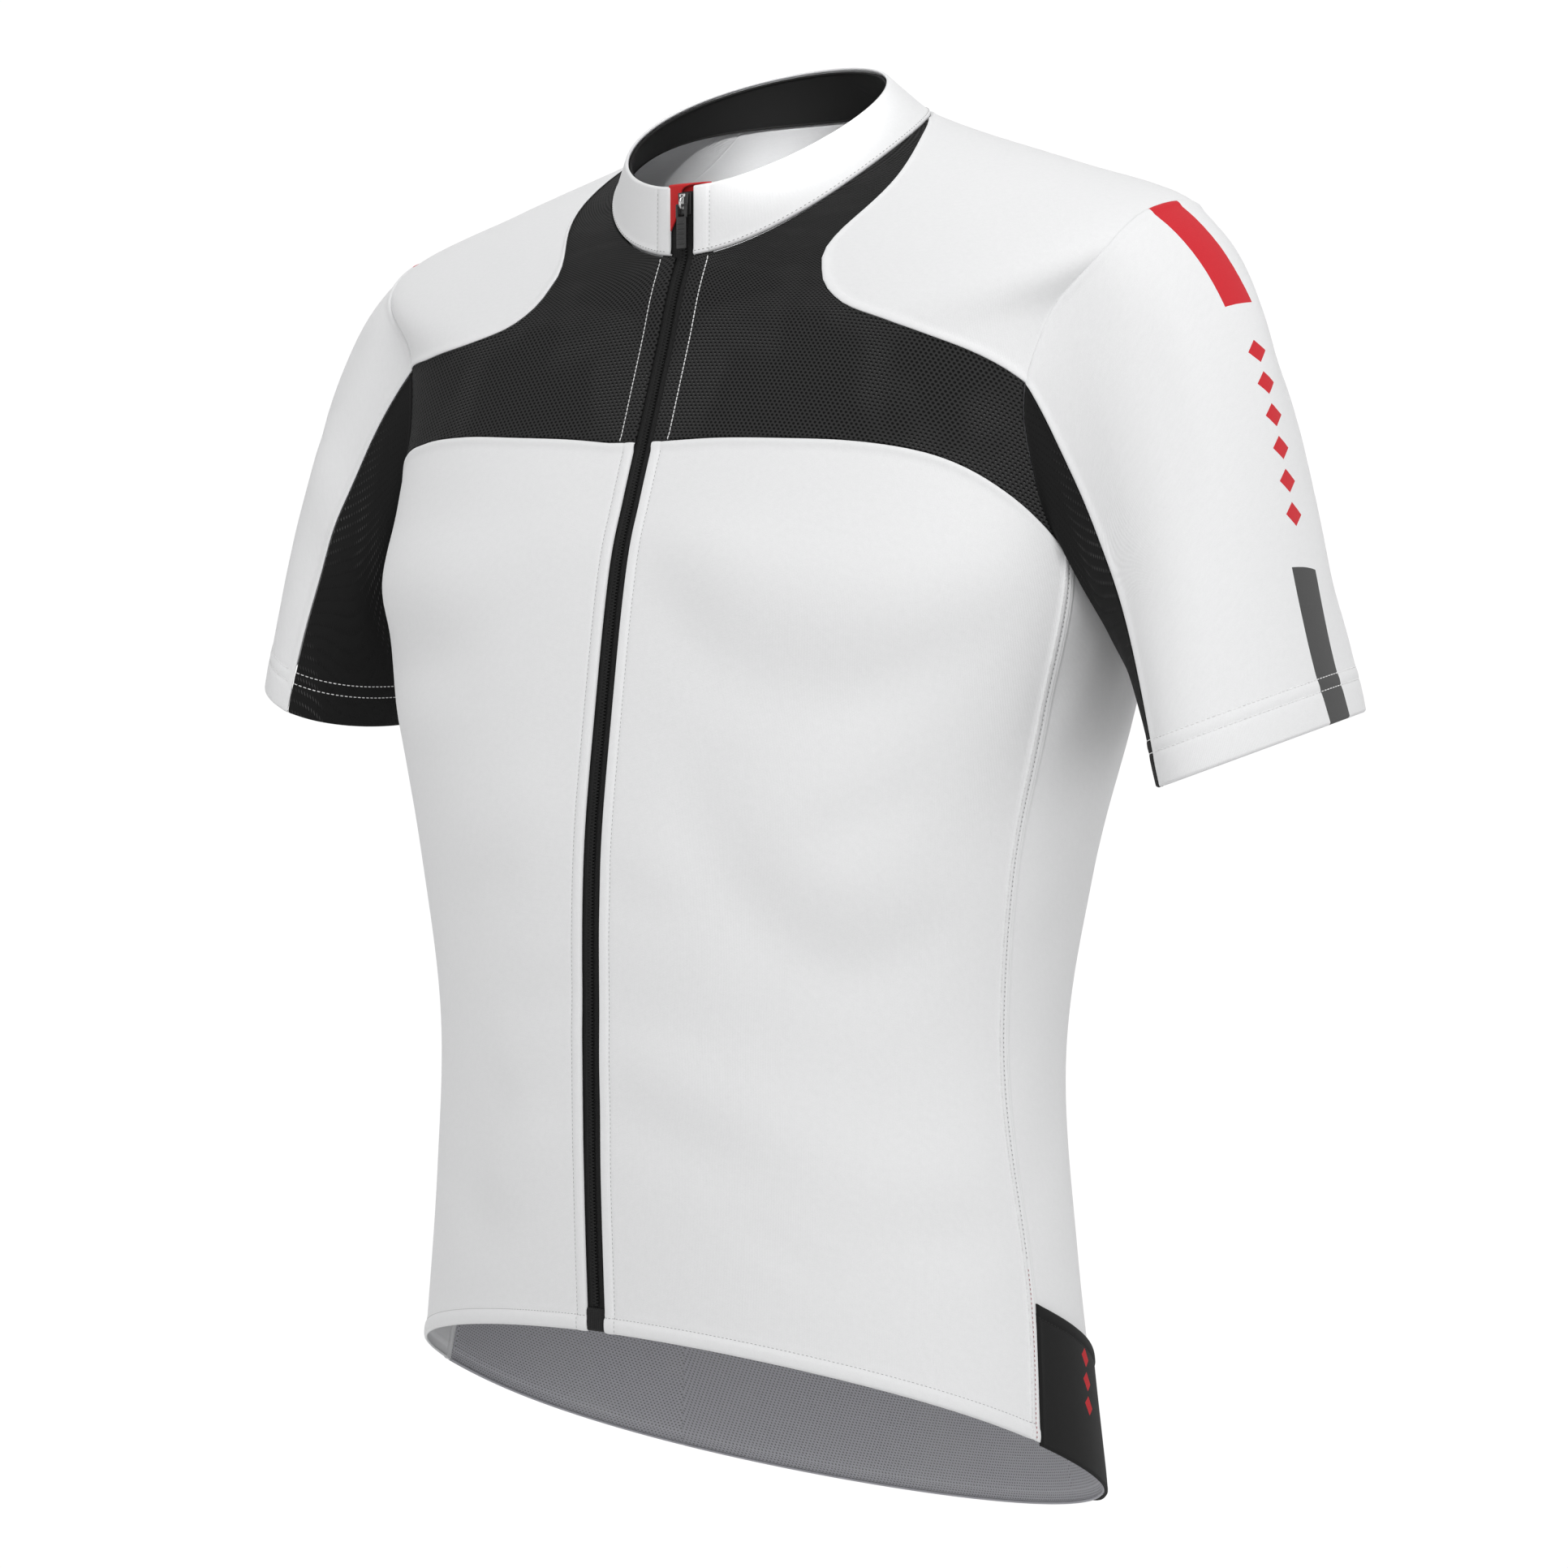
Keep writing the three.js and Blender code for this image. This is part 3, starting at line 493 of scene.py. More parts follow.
class Chart:
    """Lengths along a surface, so that a weave keeps its scale on the cloth."""

    def __init__(
        self, point: Callable[[Array, Array], Array], a: tuple[float, float], b: tuple[float, float]
    ) -> None:
        """Measures the surface.

        Args:
            point: the surface, as a function of its two places.
            a: lowest and highest first place.
            b: lowest and highest second place.
        """
        self.a, self.b, self.n, self.m = a, b, *CHART_STEPS
        pa, pb = np.meshgrid(np.linspace(*a, self.n), np.linspace(*b, self.m), indexing="ij")
        p = point(pa, pb)
        self.along_a = np.zeros((self.n, self.m))
        self.along_b = np.zeros((self.n, self.m))
        self.along_a[1:] = np.cumsum(np.linalg.norm(np.diff(p, axis=0), axis=-1), axis=0)
        self.along_b[:, 1:] = np.cumsum(np.linalg.norm(np.diff(p, axis=1), axis=-1), axis=1)

    def read(self, x: Array, y: Array) -> Array:
        """Looks places up.

        Args:
            x: first places.
            y: second places.

        Returns:
            The two lengths in millimetres at each place.
        """
        i = np.clip((x - self.a[0]) / (self.a[1] - self.a[0]) * (self.n - 1), 0, self.n - 1.001)
        j = np.clip((y - self.b[0]) / (self.b[1] - self.b[0]) * (self.m - 1), 0, self.m - 1.001)
        i0, j0 = i.astype(int), j.astype(int)
        f, g = i - i0, j - j0
        out = []
        for q in (self.along_a, self.along_b):
            low = q[i0, j0] * (1 - f) + q[i0 + 1, j0] * f
            high = q[i0, j0 + 1] * (1 - f) + q[i0 + 1, j0 + 1] * f
            out.append(low * (1 - g) + high * g)
        return np.stack(out, -1)


# ---------------------------------------------------------------- edges of the panels


def groove(d: Array, at: float, deep: float) -> Array:
    """The dip that a row of stitches draws into the cloth."""
    return -deep * np.exp(-(((d - at) / 0.75) ** 2))


CUFF_ROWS = (15.0, 20.6)  # both rows of a cuff's stitching, in millimetres from its edge
FLATLOCK_ROWS = (2.1, 4.8)  # the stitching in a flatlock seam's groove, and beside it


class Edge(Enum):
    """How a panel's edge is finished: name, grid rows in mm from the edge, width of its fold."""

    SEAM = ("seam", (0, 0.3, 0.7, 1.2, 1.9, 3.0, 4.6), 0.0)
    LIP = ("lip", (0, 0.3, 0.8, 1.5, 2.3, 3.2, 4.4, 6.0), 0.0)
    FLATLOCK = ("flatlock", (0, 0.3, 0.8, 1.5, 2.1, 2.6, 3.2, 4.0, 4.8, 5.4, 6.0, 8.2), 0.0)
    WELT = ("welt", (0, 0.4, 0.9, 1.4, 1.9, 2.4, 3.2, 4.6), 0.0)
    BUTT = ("butted", (0, 0.3, 0.7, 1.2, 1.9, 3.0, 4.6), 0.0)
    NARROW = ("narrow fold", (0, 0.3, 0.8, 1.5, 2.6, 4.2, 5.4, 6.0, 6.6, 7.8, 10.0), 6.0)
    FOLD = ("fold", (0, 0.3, 0.8, 1.5, 2.6, 4.5, 7.0, 8.3, 9.0, 9.7, 10.9, 13.0), 9.0)
    HEM = ("hem", (0, 0.3, 0.8, 1.5, 2.8, 4.6, 6.2, 7.2, 8.2, 9.6, 12.0), 7.2)
    CUFF = (
        "cuff",
        (0, 0.3, 0.8, 1.5, 3.5, 7.5, 12.0, 14.2, 15.0, 15.8, 17.8, 19.8, 20.6, 21.4, 23.0, 26.0),
        20.6,
    )
    ROUND = ("round", (0, 0.3, 0.8, 1.5, 2.6, 4.5), 0.0)

    @property
    def rows(self) -> tuple[float, ...]:
        """Distances of the grid rows from the edge, in millimetres."""
        return self.value[1]

    @property
    def stitched(self) -> float:
        """Distance from the edge at which its fold ends and is sewn down."""
        return self.value[2]

    def height(self, d: Array) -> Array:
        """Lift of the cloth's face.

        Args:
            d: distance from the edge in millimetres.

        Returns:
            The lift in millimetres.
        """
        curl = -1.15 * np.clip(1 - d / 1.1, 0, 1) ** 2
        width = self.stitched
        if self is Edge.SEAM:
            return curl + 0.4 * np.exp(-(((d - 1.5) / 1.1) ** 2))
        if self is Edge.LIP:
            return 0.75 * (1 - smooth(1.6, 4.6, d)) - 0.45 * np.clip(1 - d / 0.9, 0, 1) ** 2
        if self is Edge.BUTT:
            return 0.3 * (1 - smooth(0, 1.3, d))
        if self is Edge.WELT:
            return 0.8 * (1 - smooth(0.9, 2.4, d))
        if self is Edge.FLATLOCK:
            ridge = 0.85 * np.exp(-(((d - 4.0) / 1.6) ** 4))
            return 0.5 * (1 - smooth(1.2, 2.1, d)) + 0.35 * (1 - smooth(4.0, 6.8, d)) + ridge
        if self is Edge.ROUND:
            return curl
        full = 1.1 if self is Edge.HEM else 0.6
        swell = 0.7 + 0.3 * np.sin(np.pi * np.clip(d / width, 0, 1))
        band = full * (1 - smooth(width - 0.6, width + 2.2, d)) * swell
        if self is Edge.CUFF:
            return curl + band + groove(d, CUFF_ROWS[0], 0.4) + groove(d, width, 0.4)
        return curl + band + groove(d, width, 0.65)


@dataclass(frozen=True)
class Edges:
    """The four edges of a panel, in the order of its grid."""

    start: Edge
    end: Edge
    bottom: Edge
    top: Edge


ALL_ROUND = Edges(Edge.ROUND, Edge.ROUND, Edge.ROUND, Edge.ROUND)


ROUND_AND_UP = (3.2, 34.0)  # mm for a degree round and a ring up, roughly


def relax(grid: Array, rounds: int) -> Array:
    """Evens a grid's inner places out, so that its lines don't cross (Winslow smoothing).

    Args:
        grid: rows by columns of (t, v).
        rounds: how often it is smoothed.

    Returns:
        The evened grid.
    """
    scale = np.array(ROUND_AND_UP)
    p = grid * scale
    for _ in range(rounds):
        right, left, up, down = p[1:-1, 2:], p[1:-1, :-2], p[2:, 1:-1], p[:-2, 1:-1]
        du, dw = (right - left) / 2, (up - down) / 2
        a, b, c = ((m * n).sum(-1, keepdims=True) for m, n in ((dw, dw), (du, dw), (du, du)))
        twist = p[2:, 2:] - p[2:, :-2] - p[:-2, 2:] + p[:-2, :-2]
        p[1:-1, 1:-1] = (a * (right + left) + c * (up + down) - b / 2 * twist) / (2 * (a + c) + 1e-9)
    return p / scale


def coons(bottom: Array, top: Array, start: Array, end: Array) -> Array:
    """A grid of places between four seam lines (a Coons patch).

    Args:
        bottom: the line along the first row.
        top: along the last row.
        start: along the first column.
        end: along the last column.

    Returns:
        The grid.
    """
    u = np.linspace(0, 1, len(bottom))[None, :, None]
    w = np.linspace(0, 1, len(start))[:, None, None]
    return (
        (1 - w) * bottom[None]
        + w * top[None]
        + (1 - u) * start[:, None]
        + u * end[:, None]
        - (1 - w) * ((1 - u) * bottom[0] + u * bottom[-1])
        - w * ((1 - u) * top[0] + u * top[-1])
    )


FINE = 5  # fine steps of a seam line for each coarse one
Surface = Callable[[Array], Array]  # points in millimetres from a grid of places


def fill(bottom: Array, top: Array, start: Array, end: Array) -> Array:
    """A fine, even grid of places between four fine seam lines.

    Args:
        bottom: the line along the first row.
        top: along the last row.
        start: along the first column.
        end: along the last column.

    Returns:
        The grid.
    """
    coarse = relax(coons(bottom[::FINE], top[::FINE], start[::FINE], end[::FINE]), 90)
    nw, nu = len(start), len(bottom)
    rows = np.linspace(0, len(coarse) - 1, nw)
    columns = np.linspace(0, coarse.shape[1] - 1, nu)
    fine = np.empty((nw, nu, 2))
    for k in range(2):
        wide = np.array([np.interp(columns, np.arange(coarse.shape[1]), row) for row in coarse[..., k]])
        fine[..., k] = np.array([np.interp(rows, np.arange(len(coarse)), column) for column in wide.T]).T
    fine[0], fine[-1], fine[:, 0], fine[:, -1] = bottom, top, start, end
    return relax(fine, 60)


def regrid(
    places: Array, point: Surface, near: Sequence[float], far: Sequence[float], step: float
) -> Array:
    """Lays a grid's columns out again: at set distances from both ends, and even between.

    Args:
        places: the grid, its first two values a place on the surface.
        point: the surface.
        near: distances of columns from the first one, in millimetres.
        far: distances of columns from the last one.
        step: the spacing between them, about.

    Returns:
        The new grid, with two more values at each place: the distances from both ends.
    """
    p = point(places)
    runs = np.zeros(places.shape[:2])
    runs[:, 1:] = np.cumsum(np.linalg.norm(np.diff(p, axis=1), axis=-1), axis=1)
    total = runs[:, -1]
    near_, far_ = np.asarray(near, float), np.asarray(far, float)
    inner = max(2, round((float(np.mean(total)) - near_[-1] - far_[-1]) / step))
    out = np.empty((len(places), len(near_) + len(far_) + inner - 1, places.shape[2] + 2))
    for j, long in enumerate(total):
        k = min(1.0, 0.62 * long / max(near_[-1] + far_[-1], 1e-6))
        lo, hi = near_ * k, long - far_[::-1] * k
        at = np.concatenate([lo, np.linspace(lo[-1], hi[0], inner + 1)[1:-1], hi])
        for c in range(places.shape[2]):
            out[j, :, c] = np.interp(at, runs[j], places[j, :, c])
        out[j, :, -2], out[j, :, -1] = at, long - at
    return out


def dressed_grid(grid: Array, point: Surface, edges: Edges, step: float) -> Array:
    """Lays a grid out again with rows and columns set for its edges.

    Args:
        grid: rows by columns, the first two values a place on the surface.
        point: the surface.
        edges: how its edges are finished.
        step: the spacing inside, in millimetres.

    Returns:
        The grid, with four more values: distances from start, end, bottom and top.
    """
    across = regrid(grid, point, edges.start.rows, edges.end.rows, step)
    upright = regrid(across.transpose(1, 0, 2), point, edges.bottom.rows, edges.top.rows, step)
    return upright.transpose(1, 0, 2)


def edge_height(grid: Array, edges: Edges) -> Array:
    """Lift of the face near all four edges.

    Args:
        grid: a grid from dressed_grid that holds a place and four distances.
        edges: how its edges are finished.

    Returns:
        The lift in millimetres.
    """
    kinds = (edges.start, edges.end, edges.bottom, edges.top)
    lifts = [kind.height(grid[..., 2 + k]) for k, kind in enumerate(kinds)]
    dips = np.minimum.reduce([np.minimum(x, 0) for x in lifts])
    return dips + np.maximum.reduce([np.maximum(x, 0) for x in lifts])


# Coarse steps of each seam line.
STEPS = {
    "yoke_lower": 9, "yoke_arm": 3, "yoke_upper": 11, "body": 13,
    "side_top": 5, "back_arm": 6, "shoulder_top": 8, "back_neck": 7,
}  # fmt: skip


def sampled(rows: Array, steps: int, first: Array | None = None, last: Array | None = None) -> Array:
    """Fine places along a seam line.

    Args:
        rows: the line's knots.
        steps: its coarse steps.
        first: the first knot's place, where a neighbour sets it.
        last: the last knot's place, likewise.

    Returns:
        The places.
    """
    rows = rows.astype(float).copy()
    if first is not None:
        rows[0] = first
    if last is not None:
        rows[-1] = last
    return along(rows, np.linspace(0, len(rows) - 1, steps * FINE + 1))


def arm_line(start: float, end: float, steps: int) -> Array:
    """Fine places along the armhole."""
    return armhole(np.linspace(start, end, steps * FINE + 1))


def straight(start: Array, end: Array, steps: int) -> Array:
    """Fine places on a line between two."""
    return start + (end - start) * np.linspace(0, 1, steps * FINE + 1)[:, None]


def other_side(rows: Array) -> Array:
    """A line's places, taken round to the other side of the back."""
    return rows * np.array([-1, 1]) + np.array([180, 0])


def seam_lines(rise: float) -> dict[str, Array]:
    """The seam lines of one side.

    Args:
        rise: how far that side's armhole rides up.

    Returns:
        Fine places of each line by name, all in that side's own places.
    """
    corner = armhole(ARM_SIDE_FRONT)
    foot = YOKE_LOWER[0, 1]

    def centre(low: float, high: float, steps: int) -> Array:
        """The folded front edge."""
        v = np.linspace(low, high, steps * FINE + 1)
        return np.stack([front_t(ZIP_HALF, v), v], -1)

    lines = {
        "lower": sampled(YOKE_LOWER, STEPS["yoke_lower"], centre(foot, foot, 1)[0], corner),
        "upper": sampled(YOKE_UPPER, STEPS["yoke_upper"], armhole(ARM_YOKE_TOP)),
        "side": sampled(SIDE_SEAM, STEPS["body"], None, corner),
        "back": sampled(BACK_SEAM, STEPS["body"], None, armhole(ARM_SIDE_BACK)),
        "shoulder": sampled(SHOULDER_SEAM, STEPS["yoke_upper"], armhole(ARM_SHOULDER)),
        "arm_yoke": arm_line(ARM_SIDE_FRONT, ARM_YOKE_TOP, STEPS["yoke_arm"]),
        "arm_side": arm_line(ARM_SIDE_FRONT, ARM_SIDE_BACK, STEPS["side_top"]),
        "arm_back": arm_line(ARM_SIDE_BACK, ARM_SHOULDER, STEPS["back_arm"]),
        "arm_top": arm_line(ARM_YOKE_TOP, ARM_SHOULDER - 360, STEPS["shoulder_top"]),
    }
    lines = {name: ride(rows, rise) for name, rows in lines.items()}
    lines["centre_front"] = centre(0, foot, STEPS["body"])
    lines["centre_yoke"] = centre(foot, NECK, STEPS["yoke_arm"] + STEPS["yoke_upper"])
    return lines


# ---------------------------------------------------------------- finishes


Socket = bpy.types.NodeSocket


class Graph:
    """A node tree with short calls for its arithmetic."""

    def __init__(self, tree: bpy.types.NodeTree) -> None:
        """Wraps a tree."""
        self.tree = tree

    def node(self, kind: str, **values: object) -> bpy.types.Node:
        """A new node.

        Args:
            kind: Blender's name of it.
            values: the properties that are set.

        Returns:
            The node.
        """
        made = self.tree.nodes.new(kind)
        for name, value in values.items():
            setattr(made, name, value)
        return made

    def join(self, source: object, target: Socket) -> None:
        """Links a socket to an input, or sets the input's value.

        Args:
            source: a socket, a number or a colour.
            target: the input.
        """
        if isinstance(source, bpy.types.NodeSocket):
            self.tree.links.new(source, target)
        else:
            target.default_value = source

    def math(self, operation: str, *inputs: object) -> Socket:
        """One arithmetic node's result.

        Args:
            operation: Blender's name of it.
            inputs: sockets or numbers.

        Returns:
            The result's socket.
        """
        made = self.node("ShaderNodeMath", operation=operation)
        for k, source in enumerate(inputs):
            self.join(source, made.inputs[k])
        return made.outputs[0]

    def add(self, a: object, b: object) -> Socket:
        """A sum."""
        return self.math("ADD", a, b)

    def sub(self, a: object, b: object) -> Socket:
        """A difference."""
        return self.math("SUBTRACT", a, b)

    def mul(self, a: object, b: object) -> Socket:
        """A product."""
        return self.math("MULTIPLY", a, b)

    def div(self, a: object, b: object) -> Socket:
        """A quotient."""
        return self.math("DIVIDE", a, b)

    def below(self, a: object, b: object) -> Socket:
        """1 where a is less than b, else 0."""
        return self.math("LESS_THAN", a, b)

    def above(self, a: object, b: object) -> Socket:
        """1 where a is more than b, else 0."""
        return self.math("GREATER_THAN", a, b)

    def absolute(self, a: object) -> Socket:
        """A value without its sign."""
        return self.math("ABSOLUTE", a)

    def parts(self, vector: Socket) -> bpy.types.NodeOutputs:
        """A vector's three parts.

        Args:
            vector: the vector's socket.

        Returns:
            The sockets of x, y and z.
        """
        made = self.node("ShaderNodeSeparateXYZ")
        self.join(vector, made.inputs[0])
        return made.outputs

    def ramp(
        self, value: object, low: object, high: object, to_low: float = 0.0, to_high: float = 1.0
    ) -> Socket:
        """A smooth step between two limits.

        Args:
            value: what is looked at.
            low: the value where the step starts.
            high: and where it ends.
            to_low: the result up to low.
            to_high: the result from high on.

        Returns:
            The result's socket.
        """
        made = self.node("ShaderNodeMapRange", interpolation_type="SMOOTHSTEP")
        for k, source in enumerate((value, low, high, to_low, to_high)):
            self.join(source, made.inputs[k])
        return made.outputs[0]

    def mix(self, mask: object, a: object, b: object) -> Socket:
        """Two colours mixed by a mask.

        Args:
            mask: 0 for the first colour, 1 for the second.
            a: the first colour.
            b: the second colour.

        Returns:
            The mixed colour's socket.
        """
        made = self.node("ShaderNodeMix", data_type="RGBA")
        for k, source in ((0, mask), (6, a), (7, b)):
            self.join(source, made.inputs[k])
        return made.outputs[2]

    def noise(self, vector: Socket, scale: float, detail: float = 2.0) -> Socket:
        """Noise around 0.5.

        Args:
            vector: the place.
            scale: how fine it is.
            detail: how many finer layers it has.

        Returns:
            The noise's socket.
        """
        made = self.node("ShaderNodeTexNoise")
        self.join(vector, made.inputs["Vector"])
        made.inputs["Scale"].default_value = scale
        made.inputs["Detail"].default_value = detail
        return made.outputs["Fac"]


def group(
    name: str, inputs: Sequence[tuple[str, str, float]], outputs: Sequence[tuple[str, str]]
) -> tuple[Graph, dict[str, Socket], bpy.types.Node]:
    """An empty shader node group.

    Args:
        name: the group's name.
        inputs: name, socket type and default of each input.
        outputs: name and socket type of each output.

    Returns:
        Its graph, its inputs by name and its output node.
    """
    tree = bpy.data.node_groups.new(name, "ShaderNodeTree")
    for label, kind, value in inputs:
        socket = tree.interface.new_socket(name=label, in_out="INPUT", socket_type=kind)
        if kind == "NodeSocketFloat":
            socket.default_value = value
    for label, kind in outputs:
        tree.interface.new_socket(name=label, in_out="OUTPUT", socket_type=kind)
    graph = Graph(tree)
    enter, leave = graph.node("NodeGroupInput"), graph.node("NodeGroupOutput")
    return graph, {s.name: s for s in enter.outputs if s.name}, leave


def knit_group() -> bpy.types.NodeTree:
    """Fine plain knit: rows of small v-shaped loops, with a faint unevenness of the yarn.

    Returns:
        The group's tree.
    """
    float_, vector = "NodeSocketFloat", "NodeSocketVector"
    g, given, leave = group(
        "fine_knit",
        [("Vector", vector, 0), ("Wale", float_, 0.55), ("Course", float_, 0.45), ("Uneven", float_, 0.03)],
        [("Shade", float_), ("Height", float_)],
    )
    x, y, _ = g.parts(given["Vector"])
    across = g.div(x, given["Wale"])
    up = g.div(y, given["Course"])
    lean = g.math("PINGPONG", across, 0.5)
    loop = g.math("SINE", g.mul(g.add(up, lean), 2 * math.pi))
    rib = g.math("SINE", g.mul(across, 2 * math.pi))
    height = g.add(g.mul(loop, 0.3), g.mul(rib, 0.5))
    cloudy = g.sub(g.noise(given["Vector"], 0.35, 3.0), 0.5)
    fuzz = g.sub(g.noise(given["Vector"], 1.9, 1.0), 0.5)
    both = g.add(g.mul(cloudy, 0.7), fuzz)
    shade = g.add(1.0, g.mul(both, g.mul(given["Uneven"], 2.0)))
    g.join(shade, leave.inputs["Shade"])
    g.join(g.add(height, g.mul(fuzz, 1.2)), leave.inputs["Height"])
    return g.tree


def eyelet_group() -> bpy.types.NodeTree:
    """Mesh knit: small holes in rows, each row set along, with a bright stitch under some.

    Returns:
        The group's tree.
    """
    float_, vector = "NodeSocketFloat", "NodeSocketVector"
    g, given, leave = group(
        "eyelet_knit",
        [("Vector", vector, 0), ("Along", float_, 2.2), ("Row", float_, 1.5)]
        + [("Hole", float_, 0.5), ("Stagger", float_, 0.5)],
        [("Hole", float_), ("Stitch", float_), ("Height", float_)],
    )
    x, y, _ = g.parts(given["Vector"])
    up = g.div(y, given["Row"])
    odd = g.math("MODULO", g.absolute(g.math("FLOOR", up)), 2.0)
    across = g.add(g.div(x, given["Along"]), g.mul(odd, given["Stagger"]))
    x = g.sub(g.math("FRACT", across), 0.5)
    y = g.sub(g.math("FRACT", up), 0.5)
    wide, tall = g.mul(x, given["Along"]), g.mul(y, given["Row"])
    far = g.math("SQRT", g.add(g.mul(wide, wide), g.mul(g.mul(tall, tall), 1.5)))
    hole = g.ramp(far, g.mul(given["Hole"], 1.25), g.mul(given["Hole"], 0.6))
    low = g.absolute(g.add(y, 0.3))
    bar = g.mul(g.ramp(g.absolute(wide), 0.5, 0.3), g.ramp(low, 0.2, 0.08))
    patchy = g.ramp(g.noise(given["Vector"], 0.018, 2.0), 0.46, 0.62)
    g.join(hole, leave.inputs["Hole"])
    g.join(g.mul(bar, patchy), leave.inputs["Stitch"])
    g.join(g.sub(g.mul(bar, 0.4), hole), leave.inputs["Height"])
    return g.tree


class Groups:
    """The shared node groups, each built when a material first asks for it."""

    def __init__(self) -> None:
        """Starts with none."""
        self.made: dict[str, bpy.types.NodeTree] = {}

    def place(self, g: Graph, name: str, vector: Socket, **values: float) -> bpy.types.Node:
        """Puts a group into a material.

        Args:
            g: the material's tree.
            name: knit or eyelet.
            vector: the place on the cloth.
            values: its other inputs.

        Returns:
            The group's node.
        """
        if name not in self.made:
            self.made[name] = {"knit": knit_group, "eyelet": eyelet_group}[name]()
        made = g.node("ShaderNodeGroup", node_tree=self.made[name])
        g.join(vector, made.inputs["Vector"])
        for label, value in values.items():
            made.inputs[label].default_value = value
        return made


GROUPS = Groups()
Colour = tuple[float, float, float, float]


def grey(value: float, blue: float = 0.0) -> Colour:
    """A near-neutral colour in linear light."""
    return (value, value * (1 + 0.3 * blue), value * (1 + blue), 1.0)


def new_material(
    name: str, roughness: float, sheen: float = 0.0, metallic: float = 0.0, gloss: float = 0.5
) -> tuple[bpy.types.Material, Graph, bpy.types.Node]:
    """A material whose plain values are set on its Principled shader.

    Args:
        name: its name.
        roughness: how blunt its highlights are.
        sheen: how much its nap catches the light.
        metallic: 1 for metal.
        gloss: how strong its highlights are.

    Returns:
        The material, its tree and its shader.
    """
    material = bpy.data.materials.new(name)
    material.use_nodes = True
    shader = material.node_tree.nodes["Principled BSDF"]
    shader.inputs["Roughness"].default_value = roughness
    shader.inputs["Metallic"].default_value = metallic
    shader.inputs["Specular IOR Level"].default_value = gloss
    shader.inputs["Sheen Weight"].default_value = sheen
    shader.inputs["Sheen Roughness"].default_value = 0.5
    return material, Graph(material.node_tree), shader


def cloth_vector(g: Graph, layer: str = "cloth") -> Socket:
    """A UV map's place in millimetres.

    Args:
        g: the material's tree.
        layer: the map's name.

    Returns:
        The place's socket.
    """
    uv = g.node("ShaderNodeUVMap", uv_map=layer)
    scaled = g.node("ShaderNodeVectorMath", operation="SCALE")
    g.join(uv.outputs[0], scaled.inputs[0])
    scaled.inputs["Scale"].default_value = 1000.0
    return scaled.outputs[0]


def shaded(g: Graph, colour: object, factor: Socket) -> Socket:
    """A colour made lighter or darker.

    Args:
        g: the material's tree.
        colour: a colour or its socket.
        factor: a factor around 1.

    Returns:
        The new colour's socket.
    """
    made = g.node("ShaderNodeVectorMath", operation="SCALE")
    g.join(colour[:3] if isinstance(colour, tuple) else colour, made.inputs[0])
    g.join(factor, made.inputs["Scale"])
    return made.outputs[0]


def bump(g: Graph, shader: bpy.types.Node, height: Socket, deep: float) -> None:
    """Feeds a height into a shader's normal.

    Args:
        g: the material's tree.
        shader: the shader.
        height: the height, around 1 at its highest.
        deep: what 1 stands for, in millimetres.
    """
    made = g.node("ShaderNodeBump")
    made.inputs["Distance"].default_value = deep * MM
    made.inputs["Strength"].default_value = 1.0
    g.join(height, made.inputs["Height"])
    g.join(made.outputs[0], shader.inputs["Normal"])


def diamonds(g: Graph, x: Socket, y: Socket, span: Triple, half: float, tall: float) -> Socket:
    """A row of plain diamonds.

    Args:
        g: the material's tree.
        x: distance aside from the row's middle.
        y: distance along the row.
        span: where the row starts and ends, and its spacing.
        half: half a diamond's width.
        tall: half its height, as a share of the spacing.

    Returns:
        1 inside a diamond, else 0.
    """
    start, stop, spacing = span
    turn = g.sub(g.math("FRACT", g.div(g.sub(y, start), spacing)), 0.5)
    reach = g.add(g.div(x, half), g.div(g.absolute(turn), tall))
    row = g.mul(g.above(y, start), g.below(y, stop))
    return g.mul(g.below(reach, 1.0), row)


@dataclass(frozen=True)
class KnitFinish:
    """Smooth knit cloth."""

    name: str
    colour: Colour
    roughness: float = 0.85
    sheen: float = 0.15
    deep: float = 0.035
    uneven: float = 0.042

    def material(self) -> bpy.types.Material:
        """Builds the material.

        Returns:
            The material.
        """
        made, g, shader = new_material(self.name, self.roughness, self.sheen, gloss=0.15)
        knit = GROUPS.place(g, "knit", cloth_vector(g), Uneven=self.uneven)
        g.join(shaded(g, self.paint(g), knit.outputs["Shade"]), shader.inputs["Base Color"])
        bump(g, shader, knit.outputs["Height"], self.deep)
        return made

    def paint(self, g: Graph) -> object:
        """The cloth's colour, before the yarn's unevenness."""
        return self.colour


@dataclass(frozen=True)
class StripFinish(KnitFinish):
    """Knit with a printed strip down the outside of the sleeve: a block, a row of diamonds, a block."""

    red: Colour = (0.6, 0.02, 0.03, 1.0)
    dark: Colour = grey(0.07)
    half: float = 9.2
    block_end: float = 60.0
    motif: Triple = (76.0, 166.0, 15.0)  # from, to, spacing
    motif_half: float = 6.0
    motif_tall: float = 0.36
    dark_start: float = 182.0

    def paint(self, g: Graph) -> object:
        """White, with the strip's shapes where the strip's own map says.

        Args:
            g: the material's tree.

        Returns:
            The colour's socket.
        """
        aside, y, _ = g.parts(cloth_vector(g, "strip"))
        x = g.absolute(aside)
        inside = g.below(x, self.half)
        block = g.mul(inside, g.below(y, self.block_end))
        red = g.math("MAXIMUM", block, diamonds(g, x, y, self.motif, self.motif_half, self.motif_tall))
        dark = g.mul(inside, g.above(y, self.dark_start))
        return g.mix(dark, g.mix(red, self.colour, self.red), self.dark)


